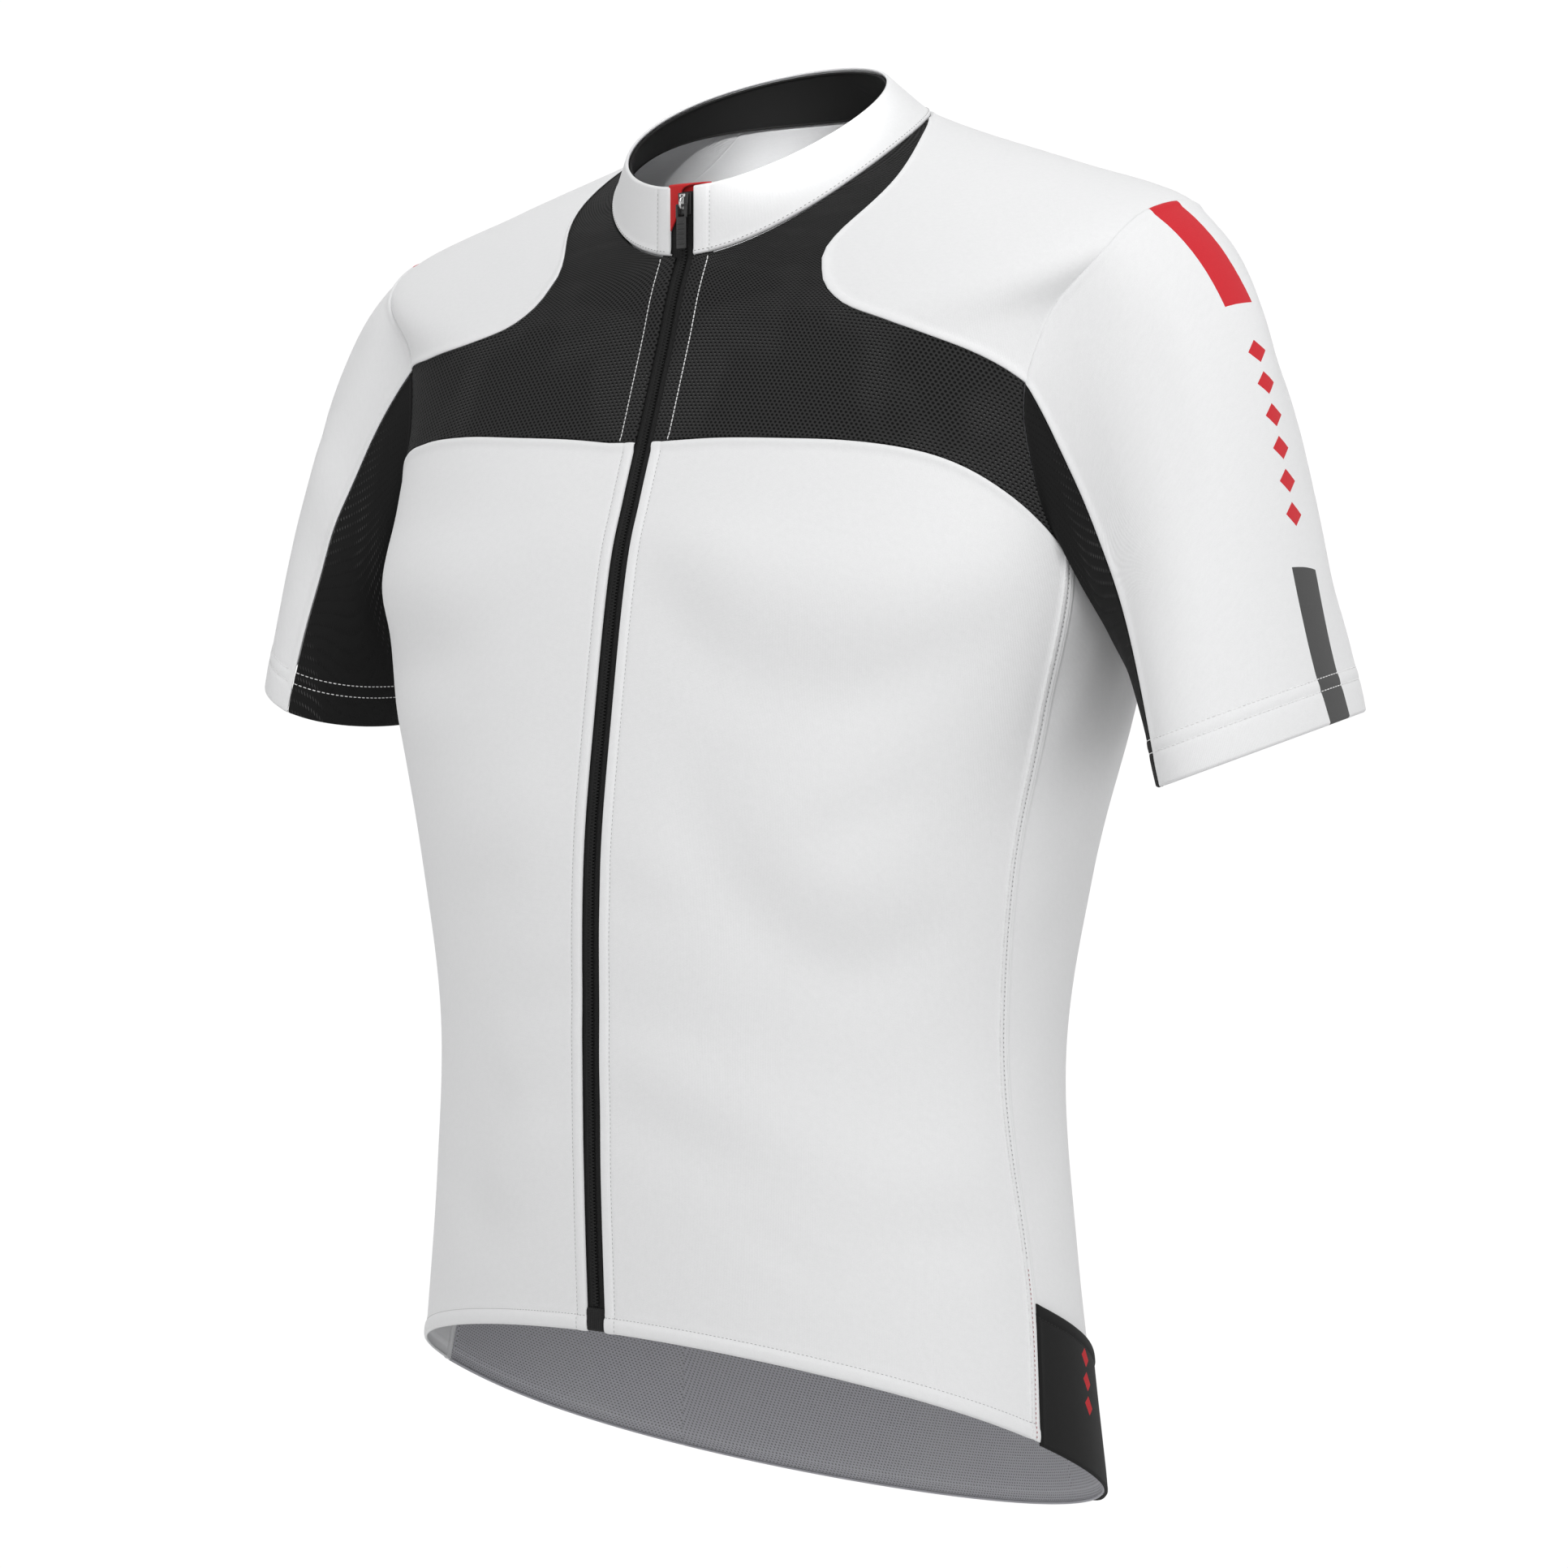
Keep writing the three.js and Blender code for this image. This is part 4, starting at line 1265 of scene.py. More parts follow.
@dataclass(frozen=True)
class BandFinish(KnitFinish):
    """Black knit with a short upright row of plain diamonds at both ends of the rear pocket band."""

    red: Colour = (0.5, 0.015, 0.022, 1.0)
    across: float = 44.0  # from the band's end to the row's middle
    motif: Triple = (24.0, 57.0, 11.0)  # from, to, spacing
    motif_half: float = 5.0
    motif_tall: float = 0.4

    def paint(self, g: Graph) -> object:
        """Black, with the diamonds where the band's own map says.

        Args:
            g: the material's tree.

        Returns:
            The colour's socket.
        """
        aside, y, _ = g.parts(cloth_vector(g, "band"))
        x = g.absolute(g.sub(aside, self.across))
        return g.mix(diamonds(g, x, y, self.motif, self.motif_half, self.motif_tall), self.colour, self.red)


@dataclass(frozen=True)
class MeshFinish:
    """Mesh knit with rows of small holes, painted darker as the shade seen through them."""

    name: str
    colour: Colour
    # painted shade seen through the holes
    hole: Colour
    stitch: Colour
    along: float = 2.2
    row: float = 1.5
    size: float = 0.5
    stagger: float = 0.5
    roughness: float = 0.8
    sheen: float = 0.1
    deep: float = 0.18

    def material(self) -> bpy.types.Material:
        """Builds the material.

        Returns:
            The material.
        """
        made, g, shader = new_material(self.name, self.roughness, self.sheen, gloss=0.15)
        vector = cloth_vector(g)
        sizes = {"Along": self.along, "Row": self.row, "Hole": self.size, "Stagger": self.stagger}
        cell = GROUPS.place(g, "eyelet", vector, **sizes)
        knit = GROUPS.place(g, "knit", vector, Uneven=0.08)
        body = shaded(g, self.colour, knit.outputs["Shade"])
        # the holes take the darker colour: painted shade seen through the mesh
        holed = g.mix(cell.outputs["Hole"], body, self.hole)
        g.join(g.mix(cell.outputs["Stitch"], holed, self.stitch), shader.inputs["Base Color"])
        bump(g, shader, cell.outputs["Height"], self.deep)
        return made


@dataclass(frozen=True)
class SolidFinish:
    """Moulded plastic, enamel or metal, with a faint grain."""

    name: str
    colour: Colour
    roughness: float
    metallic: float = 0.0
    grain: float = 1500.0
    deep: float = 0.02
    gloss: float = 0.5

    def material(self) -> bpy.types.Material:
        """Builds the material.

        Returns:
            The material.
        """
        made, g, shader = new_material(self.name, self.roughness, 0.0, self.metallic, self.gloss)
        place = g.node("ShaderNodeTexCoord").outputs["Object"]
        rough = g.noise(place, self.grain, 3.0)
        worn = g.noise(place, self.grain / 12, 2.0)
        g.join(shaded(g, self.colour, g.ramp(worn, 0.2, 0.8, 0.85, 1.15)), shader.inputs["Base Color"])
        blunt = g.ramp(rough, 0.2, 0.8, self.roughness * 0.8, min(1.0, self.roughness * 1.2))
        g.join(blunt, shader.inputs["Roughness"])
        bump(g, shader, rough, self.deep)
        return made


@dataclass(frozen=True)
class TapeFinish:
    """Woven zip tape: fine ribs along its length."""

    name: str
    colour: Colour
    rib: float = 0.8

    def material(self) -> bpy.types.Material:
        """Builds the material.

        Returns:
            The material.
        """
        made, g, shader = new_material(self.name, 0.75, 0.05, gloss=0.2)
        x, y, _ = g.parts(cloth_vector(g))
        ribs = g.math("SINE", g.mul(x, 2 * math.pi / self.rib))
        picks = g.math("SINE", g.mul(y, 2 * math.pi / (self.rib * 0.7)))
        weave = g.mul(ribs, picks)
        g.join(shaded(g, self.colour, g.add(1.0, g.mul(weave, 0.35))), shader.inputs["Base Color"])
        bump(g, shader, g.add(weave, ribs), 0.08)
        return made


class Finish(Enum):
    """Every finish on the jersey."""

    WHITE = KnitFinish("white_knit", grey(0.80, 0.01))
    # The white knit again, painted darker for the inner faces: painted shade inside the jersey, not a colour
    # of its own.
    INSIDE = KnitFinish("white_knit_inside_painted_shade", grey(0.66, 0.02), deep=0.06, uneven=0.06)
    STRIPED = StripFinish("white_knit_with_strip", grey(0.80, 0.01))
    BLACK_MESH = MeshFinish(
        "black_mesh_knit", grey(0.029), grey(0.001), grey(0.075), 2.5, 1.6, 0.74, sheen=0.0, deep=0.3
    )
    DOT_MESH = MeshFinish("black_dot_knit", grey(0.009), grey(0.003), grey(0.075), 3.1, 2.7, 0.34, sheen=0.02)
    LIGHT_MESH = MeshFinish(
        "light_mesh_knit", (0.385, 0.385, 0.415, 1.0), grey(0.2), grey(0.42), 1.95, 1.35, 0.45
    )
    BLACK = KnitFinish("black_knit", grey(0.012), sheen=0.04, uneven=0.1)
    BAND = BandFinish("black_knit_with_diamonds", grey(0.012), sheen=0.04, uneven=0.1)
    RED = KnitFinish("red_tab_cloth", (0.5, 0.012, 0.014, 1.0), deep=0.06, uneven=0.08)
    TAPE = TapeFinish("zip_tape_weave", grey(0.012))
    TEETH = SolidFinish("zip_teeth_plastic", grey(0.013), 0.62, gloss=0.2)
    PULL = SolidFinish("pull_moulding", grey(0.02), 0.45)
    METAL = SolidFinish("slider_metal", grey(0.62), 0.22, 1.0)
    ENAMEL = SolidFinish("slider_enamel", grey(0.02), 0.35)
    WHITE_THREAD = SolidFinish("white_thread", grey(0.78), 0.7, grain=3000.0)
    GREY_THREAD = SolidFinish("grey_thread", grey(0.30), 0.7, grain=3000.0)
    BLACK_THREAD = SolidFinish("black_thread", grey(0.012), 0.6, grain=3000.0)
    RED_THREAD = SolidFinish("red_thread", (0.35, 0.03, 0.035, 1.0), 0.7, grain=3000.0)
    FLOOR = SolidFinish("studio_floor", grey(0.86), 0.9, grain=6.0, deep=0.2)


class Finishes:
    """The materials made so far."""

    def __init__(self) -> None:
        """Starts with none."""
        self.made: dict[Finish, bpy.types.Material] = {}

    def of(self, finish: Finish) -> bpy.types.Material:
        """The material of a finish, built once.

        Args:
            finish: the finish.

        Returns:
            Its material.
        """
        if finish not in self.made:
            self.made[finish] = finish.value.material()
        return self.made[finish]


FINISHES = Finishes()


# ---------------------------------------------------------------- meshes


def link(mesh: bpy.types.Mesh, name: str, body: str = "jersey") -> bpy.types.Object:
    """An object for a mesh.

    Args:
        mesh: the mesh.
        name: the object's name.
        body: the body that it rides on.

    Returns:
        The object, in the scene.
    """
    made = bpy.data.objects.new(name, mesh)
    bpy.context.scene.collection.objects.link(made)
    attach(made, body)
    return made


def grid_mesh(name: str, points: Array, maps: dict[str, Array]) -> bpy.types.Mesh:
    """A smooth mesh on a grid of points.

    Args:
        name: the mesh's name.
        points: rows by columns of points in millimetres.
        maps: UV maps by name, a pair in metres for each point.

    Returns:
        The mesh, in metres.
    """
    rows, columns = points.shape[:2]
    bm = bmesh.new()
    bmesh.ops.create_grid(bm, x_segments=columns - 1, y_segments=rows - 1, size=1.0)
    layers = {label: bm.loops.layers.uv.new(label) for label in maps}
    flat = points.reshape(-1, 3) * MM
    where = np.array([v.co.xy[:] for v in bm.verts])
    i = np.rint((where[:, 0] + 1) / 2 * (columns - 1)).astype(int)
    j = np.rint((where[:, 1] + 1) / 2 * (rows - 1)).astype(int)
    index = j * columns + i
    for vert, k in zip(bm.verts, index):
        vert.co = flat[k]
    pairs = {label: values.reshape(-1, 2) for label, values in maps.items()}
    bm.verts.index_update()
    for face in bm.faces:
        face.smooth = True
        for loop in face.loops:
            k = index[loop.vert.index]
            for label, layer in layers.items():
                loop[layer].uv = pairs[label][k]
    return mesh_from(bm, name)


def mesh_from(bm: bmesh.types.BMesh, name: str) -> bpy.types.Mesh:
    """A mesh with a bmesh's content, which is then freed.

    Args:
        bm: the bmesh.
        name: the mesh's name.

    Returns:
        The mesh.
    """
    mesh = bpy.data.meshes.new(name)
    bm.to_mesh(mesh)
    bm.free()
    return mesh


@dataclass
class Skin:
    """A finished cloth face: its points, normals and the grid it was made on."""

    grid: Array
    points: Array
    normals: Array
    edges: Edges

    def line(self, side: str, distance: float) -> tuple[Array, Array]:
        """The grid line at a distance from an edge.

        Args:
            side: start, end, bottom or top.
            distance: one of that edge's rows.

        Returns:
            The line's points and normals.
        """
        rows = getattr(self.edges, side).rows
        k = rows.index(distance)
        if side == "start":
            return self.points[:, k], self.normals[:, k]
        if side == "end":
            return self.points[:, -1 - k], self.normals[:, -1 - k]
        if side == "bottom":
            return self.points[k], self.normals[k]
        return self.points[-1 - k], self.normals[-1 - k]


@dataclass(frozen=True)
class Piece:
    """A piece of cloth: the solid it stands for, both faces, its slot, and how it is held."""

    node: str
    faces: tuple[Finish, Finish]
    slot: str
    held: str = "hung"
    rests_on: str = "jersey"
    thick: float = CLOTH

    def build(
        self, skin: Skin, maps: dict[str, Array], sign: int = 1, flip: bool = False
    ) -> bpy.types.Object:
        """Args:
            skin: the outer face, on its own left-hand side.
            maps: UV maps for its points.
            sign: -1 mirrors it to the wearer's right.
            flip: whether the grid runs the other way round.

        Returns:
            The object.
        """
        name = f"{self.node}_cloth"
        points = skin.points * np.array([sign, 1, 1])
        if flip != (sign < 0):
            points = points[:, ::-1]
            maps = {label: values[:, ::-1] for label, values in maps.items()}
        mesh = grid_mesh(name, points, maps)
        for finish in self.faces:
            mesh.materials.append(FINISHES.of(finish))
        made = link(mesh, name)
        wall = made.modifiers.new("wall", "SOLIDIFY")
        wall.thickness, wall.offset = self.thick * MM, -1
        wall.material_offset, wall.material_offset_rim = 1, 1
        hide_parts(self.node)
        log.info("%s: %d places", name, points.shape[0] * points.shape[1])
        return made


@dataclass(frozen=True)
class Stitch:
    """A run of sewing: spacing and length of a stitch, the thread's radius, and its colour."""

    thread: Finish
    spacing: float = 2.3
    long: float = 1.6
    radius: float = 0.2
    lift: float = 0.12


class Sewing:
    """All stitches of one thread and body, as short arched lengths of thread."""

    def __init__(self) -> None:
        """Starts with no stitches."""
        self.runs: dict[Stitch, list[Array]] = {}

    def run(self, stitch: Stitch, points: Array, normals: Array, sign: int = 1, skip: float = 1.5) -> None:
        """Sews along a line.

        Args:
            stitch: the stitch.
            points: the line on the cloth's face.
            normals: the face's normals there.
            sign: -1 mirrors it to the wearer's right.
            skip: length left bare at both ends.
        """
        where = run_along(points)
        count = int((where[-1] - 2 * skip) / stitch.spacing)
        if count < 1:
            return
        starts = skip + np.arange(count) * stitch.spacing
        parts = np.array([0.0, 0.22, 0.78, 1.0]) * stitch.long
        rise = np.array([-1.6, 1.0, 1.0, -1.6]) * stitch.lift
        at = starts[:, None] + parts[None]
        out = unit(read_line(normals, where, at)) * rise[None, :, None]
        threads = read_line(points, where, at) + out
        self.runs.setdefault(stitch, []).append(threads * np.array([sign, 1, 1]))

    def build(self, name: str, slot: str) -> None:
        """Makes one piece for each stitch used.

        Args:
            name: the start of their names.
            slot: the record's material slot; not used.
        """
        for k, (stitch, runs) in enumerate(self.runs.items()):
            lines = np.concatenate(runs)
            made = tubes(f"{name}_{k}", lines, stitch.radius, 0, stitch.thread)
            log.info("%s: %d stitches", made.name, len(lines))


def tubes(
    name: str, lines: Sequence[Array], radius: float, resolution: int, finish: Finish
) -> bpy.types.Object:
    """Lengths with a round section, as one mesh.

    Args:
        name: the piece's name.
        lines: the points along the middle of each length, in millimetres.
        radius: the section's radius.
        resolution: how finely it is rounded.
        finish: its finish.

    Returns:
        The object.
    """
    curve = bpy.data.curves.new(name, "CURVE")
    curve.dimensions = "3D"
    curve.bevel_depth, curve.bevel_resolution, curve.use_fill_caps = radius * MM, resolution, True
    for points in lines:
        line = curve.splines.new("POLY")
        line.points.add(len(points) - 1)
        line.points.foreach_set("co", np.column_stack([points * MM, np.ones(len(points))]).ravel())
    source = bpy.data.objects.new(f"{name}_path", curve)
    bpy.context.scene.collection.objects.link(source)
    graph = bpy.context.evaluated_depsgraph_get()
    mesh = bpy.data.meshes.new_from_object(source.evaluated_get(graph))
    mesh.name = name
    bpy.data.objects.remove(source)
    bpy.data.curves.remove(curve)
    mesh.polygons.foreach_set("use_smooth", [True] * len(mesh.polygons))
    mesh.materials.clear()
    mesh.materials.append(FINISHES.of(finish))
    made = link(mesh, name)
    return made


# ---------------------------------------------------------------- the jersey's pieces


def place_point(places: Array) -> Array:
    """The plain body surface at a grid of places."""
    return torso(places[..., 0], places[..., 1])


@dataclass
class Garment:
    """What the sub-assemblies share: the seam lines, the sewing and the charts for the weave."""

    sewing: Sewing = field(default_factory=Sewing)
    step: float = 4.6

    def __post_init__(self) -> None:
        """Lays the seam lines and measures the body."""
        self.lines = {pose.side: seam_lines(pose.rise) for pose in POSES}
        self.chart = Chart(torso, (-90, 270), (0, COLLAR_TOP))

    def skin(
        self, grid: Array, edges: Edges, sign: int, out: float = 0.0, step: float | None = None
    ) -> Skin:
        """A body panel's outer face.

        Args:
            grid: fine places between its seam lines.
            edges: how its edges are finished.
            sign: -1 where the panel is mirrored to the wearer's right.
            out: how far it lies outside the body's surface.
            step: the grid's spacing.

        Returns:
            The face.
        """
        laid = dressed_grid(grid, place_point, edges, step or self.step)
        t, v = laid[..., 0], laid[..., 1]
        normals = torso_normal(t, v)
        lift = body_relief(t if sign > 0 else 180 - t, v) + edge_height(laid, edges) + out
        return Skin(laid, torso(t, v) + normals * lift[..., None], normals, edges)

    def maps(self, skin: Skin) -> dict[str, Array]:
        """The weave's map of a body panel, in metres."""
        return {"cloth": self.chart.read(skin.grid[..., 0], skin.grid[..., 1]) * MM}


@dataclass
class BodyPanels:
    """Front, yoke, shoulder and side panels of both sides, and the back."""

    garment: Garment
    mesh_top: float = -150.0  # height up to which the back is mesh inside
    white_stitch: Stitch = Stitch(Finish.WHITE_THREAD, 2.1, 1.7, 0.3, 0.15)
    soft_stitch: Stitch = Stitch(Finish.GREY_THREAD, 2.0, 1.1, 0.13, 0.05)
    raised_stitch: Stitch = Stitch(Finish.WHITE_THREAD, 1.9, 1.3, 0.24, 0.1)
    seam_stitch: Stitch = Stitch(Finish.RED_THREAD, 2.1, 1.0, 0.16, 0.3)
    dark_stitch: Stitch = Stitch(Finish.GREY_THREAD, 2.1, 0.8, 0.16, 0.3)

    def build(self) -> None:
        """Builds every body panel."""
        for pose in POSES:
            self.side(pose.side, pose.sign)
        self.back()

    def panel(self, piece: Piece, grid: Array, edges: Edges, sign: int, flip: bool = False) -> Skin:
        """Builds one panel.

        Args:
            piece: what it is.
            grid: fine places between its seam lines.
            edges: how its edges are finished.
            sign: -1 where it is mirrored to the wearer's right.
            flip: whether its grid runs the other way round.

        Returns:
            Its outer face.
        """
        skin = self.garment.skin(grid, edges, sign)
        made = piece.build(skin, self.garment.maps(skin), sign, flip)
        if piece.node == "back":
            self.line_neck(made)
        return skin

    def line_neck(self, back: bpy.types.Object) -> None:
        """Gives the back a plain white knit above the mesh.

        Args:
            back: the back panel.
        """
        # Above the mesh the outer face takes the white knit and the inner face its darker copy, which is
        # painted shade.
        for finish in (Finish.WHITE, Finish.INSIDE):
            back.data.materials.append(FINISHES.of(finish))
        for face in back.data.polygons:
            if face.center.z > self.mesh_top * MM:
                face.material_index = 2

    def side(self, side: str, sign: int) -> None:
        """The panels of one side.

        Args:
            side: the wearer's left or right.
            sign: 1 for the left, -1 for the right.
        """
        s = self.garment.lines[side]
        sew = self.garment.sewing.run
        white = (Finish.WHITE, Finish.INSIDE)
        hem = straight(s["centre_front"][0], s["side"][0], STEPS["yoke_lower"])
        grid = fill(hem, s["lower"], s["centre_front"], s["side"])
        edges = Edges(Edge.NARROW, Edge.FLATLOCK, Edge.HEM, Edge.LIP)
        front = self.panel(Piece(f"front_{side}", white, "white_cloth"), grid, edges, sign)
        sew(self.soft_stitch, *front.line("start", Edge.NARROW.stitched), sign)
        sew(self.soft_stitch, *front.line("bottom", Edge.HEM.stitched), sign)
        groove_row, raised_row = FLATLOCK_ROWS
        sew(self.raised_stitch, *front.line("end", raised_row), sign)
        points, normals = front.line("end", groove_row)
        low = len(points) // 4  # the coloured thread ends here
        sew(self.seam_stitch, points[: low + 1], normals[: low + 1], sign)
        sew(self.dark_stitch, points[low:], normals[low:], sign)
        neck = straight(s["centre_yoke"][-1], s["upper"][-1], STEPS["yoke_lower"])
        grid = fill(s["lower"], neck, s["centre_yoke"], np.vstack([s["arm_yoke"], s["upper"][1:]]))
        edges = Edges(Edge.FOLD, Edge.SEAM, Edge.SEAM, Edge.SEAM)
        mesh = Piece(f"yoke_{side}", (Finish.BLACK_MESH, Finish.BLACK_MESH), "black_mesh")
        yoke = self.panel(mesh, grid, edges, sign)
        sew(self.white_stitch, *yoke.line("start", Edge.FOLD.stitched), sign)
        neck = straight(s["upper"][-1], s["shoulder"][-1], STEPS["shoulder_top"])
        grid = fill(s["upper"], s["shoulder"], s["arm_top"], neck)
        edges = Edges(Edge.BUTT, Edge.SEAM, Edge.LIP, Edge.BUTT)
        self.panel(Piece(f"shoulder_{side}", white, "white_cloth"), grid, edges, sign, flip=True)
        hem = straight(s["side"][0], s["back"][0], STEPS["side_top"])
        grid = fill(hem, s["arm_side"], s["side"], s["back"])
        edges = Edges(Edge.WELT, Edge.BUTT, Edge.HEM, Edge.BUTT)
        lined = Piece(f"side_{side}", (Finish.WHITE, Finish.LIGHT_MESH), "white_cloth")
        panel = self.panel(lined, grid, edges, sign)
        sew(self.soft_stitch, *panel.line("bottom", Edge.HEM.stitched), sign)

    def back(self) -> None:
        """The back, from the left seams round to the right ones."""
        left, right = self.garment.lines["left"], self.garment.lines["right"]
        far = other_side(right["shoulder"])
        start = np.vstack([left["back"], left["arm_back"][1:]])
        end = other_side(np.vstack([right["back"], right["arm_back"][1:]]))
        neck = straight(left["shoulder"][-1], far[-1], STEPS["back_neck"])
        top = np.vstack([left["shoulder"], neck[1:-1], far[::-1]])
        bottom = start[0] + (end[0] - start[0]) * np.linspace(0, 1, len(top))[:, None]
        piece = Piece("back", (Finish.WHITE, Finish.LIGHT_MESH), "light_mesh")
        edges = Edges(Edge.BUTT, Edge.BUTT, Edge.HEM, Edge.BUTT)
        back = self.panel(piece, fill(bottom, top, start, end), edges, 1)
        self.garment.sewing.run(self.soft_stitch, *back.line("bottom", Edge.HEM.stitched))


@dataclass
class RearPocket:
    """The black band across the back and sides, sewn into three pockets open at the top."""

    garment: Garment
    half_columns: int = 90
    rows: int = 25
    out: float = 0.35
    side_swell: float = 0.7
    back_swell: float = 9.0
    drop: float = 1.5  # how far the band's foot hangs below the side panel's
    rise: float = 1.6  # and how much higher it lies behind
    foot: float = 9.0  # height of the part that drops or rises
    thread_apart: float = 0.9  # half the space between a divider's two rows of stitches
    hem_stitch: Stitch = Stitch(Finish.BLACK_THREAD, 2.4, 1.6, 0.16, 0.1)

    def build(self) -> None:
        """Builds the band and its sewing."""
        half = self.half_columns
        top = along(POCKET_TOP, np.linspace(0, len(POCKET_TOP) - 1, half + 1))
        seam = SIDE_SEAM[0, 0]
        k = np.concatenate([np.arange(half + 1), np.arange(half - 1, -1, -1)])
        w = np.linspace(0, 1, self.rows)[:, None]
        foot = seam + (90 - seam) * k / half
        t = foot * (1 - w) + top[k, 0] * w
        v = top[k, 1] * w
        far = np.arange(2 * half + 1) > half
        grid = np.stack([np.where(far, 180 - t, t), v * np.ones_like(t)], -1)
        edges = Edges(Edge.SEAM, Edge.SEAM, Edge.ROUND, Edge.NARROW)
        share = np.linspace(0, 1, 2 * half + 1)[None, :] * np.ones((self.rows, 1))
        packed = np.concatenate([grid, share[..., None], (w * np.ones_like(share))[..., None]], -1)
        skin = self.skin(packed, edges)
        maps = self.garment.maps(skin) | {"band": self.band_map(skin)}
        piece = Piece("pocket", (Finish.BAND, Finish.BLACK), "black_cloth", rests_on="back_cloth")
        piece.build(skin, maps)
        sew = self.garment.sewing.run
        sew(self.hem_stitch, *skin.line("top", Edge.NARROW.stitched))
        for third in (1 / 3, 2 / 3):
            column = int(np.argmin(np.abs(skin.grid[0, :, 2] - third)))
            for shift in (-1, 1):
                points = skin.points[:, column] + np.array([self.thread_apart * shift, 0, 0])
                sew(self.hem_stitch, points, skin.normals[:, column])

    def skin(self, packed: Array, edges: Edges) -> Skin:
        """The band's outer face, swollen between its dividers.

        Args:
            packed: places, and each one's share of the band's length and of its height.
            edges: how its edges are finished.

        Returns:
            The face.
        """
        laid = dressed_grid(packed, place_point, edges, self.garment.step)
        t, v, share, w = (laid[..., k] for k in range(4))
        bag = np.sin(3 * np.pi * share)
        swell = np.where(bag > 0, self.side_swell * bag, -self.back_swell * bag)
        swell = swell * np.clip(w, 0, 1) ** 1.4
        normals = torso_normal(t, v)
        lifts = np.concatenate([laid[..., :2], laid[..., 4:]], -1)
        lift = body_relief(t, v) + edge_height(lifts, edges) + self.out + CLOTH + swell
        points = torso(t, v) + normals * lift[..., None]
        turned = np.where(t > 90, 180 - t, t)
        hang = self.drop * (1 - smooth(30, 42, t)) - self.rise * smooth(36, 48, turned)
        points[..., 2] -= hang * (1 - smooth(0, self.foot, laid[..., 6]))
        return Skin(laid, points, normals, edges)

    def band_map(self, skin: Skin) -> Array:
        """The band's own map.

        Args:
            skin: its outer face.

        Returns:
            Lengths from the band's nearer end and from its foot, in metres.
        """
        start, end, bottom = (skin.grid[..., k] for k in (4, 5, 6))
        return np.stack([np.minimum(start, end), bottom], -1) * MM


@dataclass
class Sleeves:
    """Both sleeves: white panels with a printed strip, and black mesh inserts under the arm."""

    garment: Garment
    strip_start: float = 13.0  # the strip's middle at the armhole, degrees round
    strip_turn: float = -39.0  # and how far it turns by the cuff
    gain: float = 12.0  # degrees that the left insert gains in front by the cuff
    spread: float = 0.4  # s by which the shoulder's own folds have faded
    cuff_stitch: Stitch = Stitch(Finish.WHITE_THREAD, 2.4, 1.6, 0.24, 0.14)

    def build(self) -> None:
        """Builds both sides."""
        for pose in POSES:
            chart = Chart(pose.surface, (100, 480), (0, 1))
            gain = self.gain if pose.side == "left" else 0.0
            white = Piece(f"sleeve_{pose.side}", (Finish.STRIPED, Finish.INSIDE), "white_cloth")
            places = self.places(ARM_SIDE_BACK, ARM_YOKE_TOP + 360, 0.0, gain, 70)
            self.panel(white, pose, chart, places, Edge.LIP)
            mesh = Piece(f"insert_{pose.side}", (Finish.DOT_MESH, Finish.DOT_MESH), "black_mesh")
            places = self.places(ARM_YOKE_TOP, ARM_SIDE_BACK, gain, 0.0, 40)
            self.panel(mesh, pose, chart, places, Edge.SEAM)

    def places(self, start: float, end: float, before: float, after: float, columns: int) -> Array:
        """A grid of places (phi, s) between two seams of a sleeve.

        Args:
            start: phi of the first seam at the armhole.
            end: phi of the last one.
            before: degrees by which the first seam moves back by the cuff.
            after: degrees by which the last one does.
            columns: how many columns it has.

        Returns:
            The grid.
        """
        share, s = np.meshgrid(np.linspace(0, 1, columns + 1), np.linspace(0, 1, 46))
        turned = smooth(0.15, 0.9, s)
        low, high = start - before * turned, end - after * turned
        return np.stack([low + (high - low) * share, s], -1)

    def panel(self, piece: Piece, pose: SleevePose, chart: Chart, places: Array, seam: Edge) -> None:
        """Builds one of a sleeve's two panels.

        Args:
            piece: what it is.
            pose: the sleeve's pose.
            chart: lengths along the sleeve's surface.
            places: the panel's grid.
            seam: how its edges at the seams are finished.
        """
        edges = Edges(seam, seam, seam, Edge.CUFF)
        laid = dressed_grid(places, pose.at, edges, self.garment.step)
        phi, s = laid[..., 0], laid[..., 1]
        normals = pose.normals(phi, s)
        root = ride(armhole(phi), pose.rise)
        t = root[..., 0] if pose.sign > 0 else 180 - root[..., 0]
        from_body = torso_normal(root[..., 0], root[..., 1]) * body_relief(t, root[..., 1])[..., None]
        lift = sleeve_relief(pose.side, phi, s) * smooth(0.0, 0.15, s) + edge_height(laid, edges)
        fading = ((1 - smooth(0, self.spread, s)) ** 2)[..., None]
        points = pose.at(laid) + normals * lift[..., None] + from_body * fading
        skin = Skin(laid, points, normals, edges)
        length = chart.read(phi, s)
        middle = chart.read(360 + self.strip_start + self.strip_turn * s, s)
        strip = np.stack([length[..., 0] - middle[..., 0], length[..., 1]], -1)
        piece.build(skin, {"cloth": length * MM, "strip": strip * MM}, pose.sign)
        for distance in CUFF_ROWS:
            self.garment.sewing.run(self.cuff_stitch, *skin.line("top", distance), pose.sign)


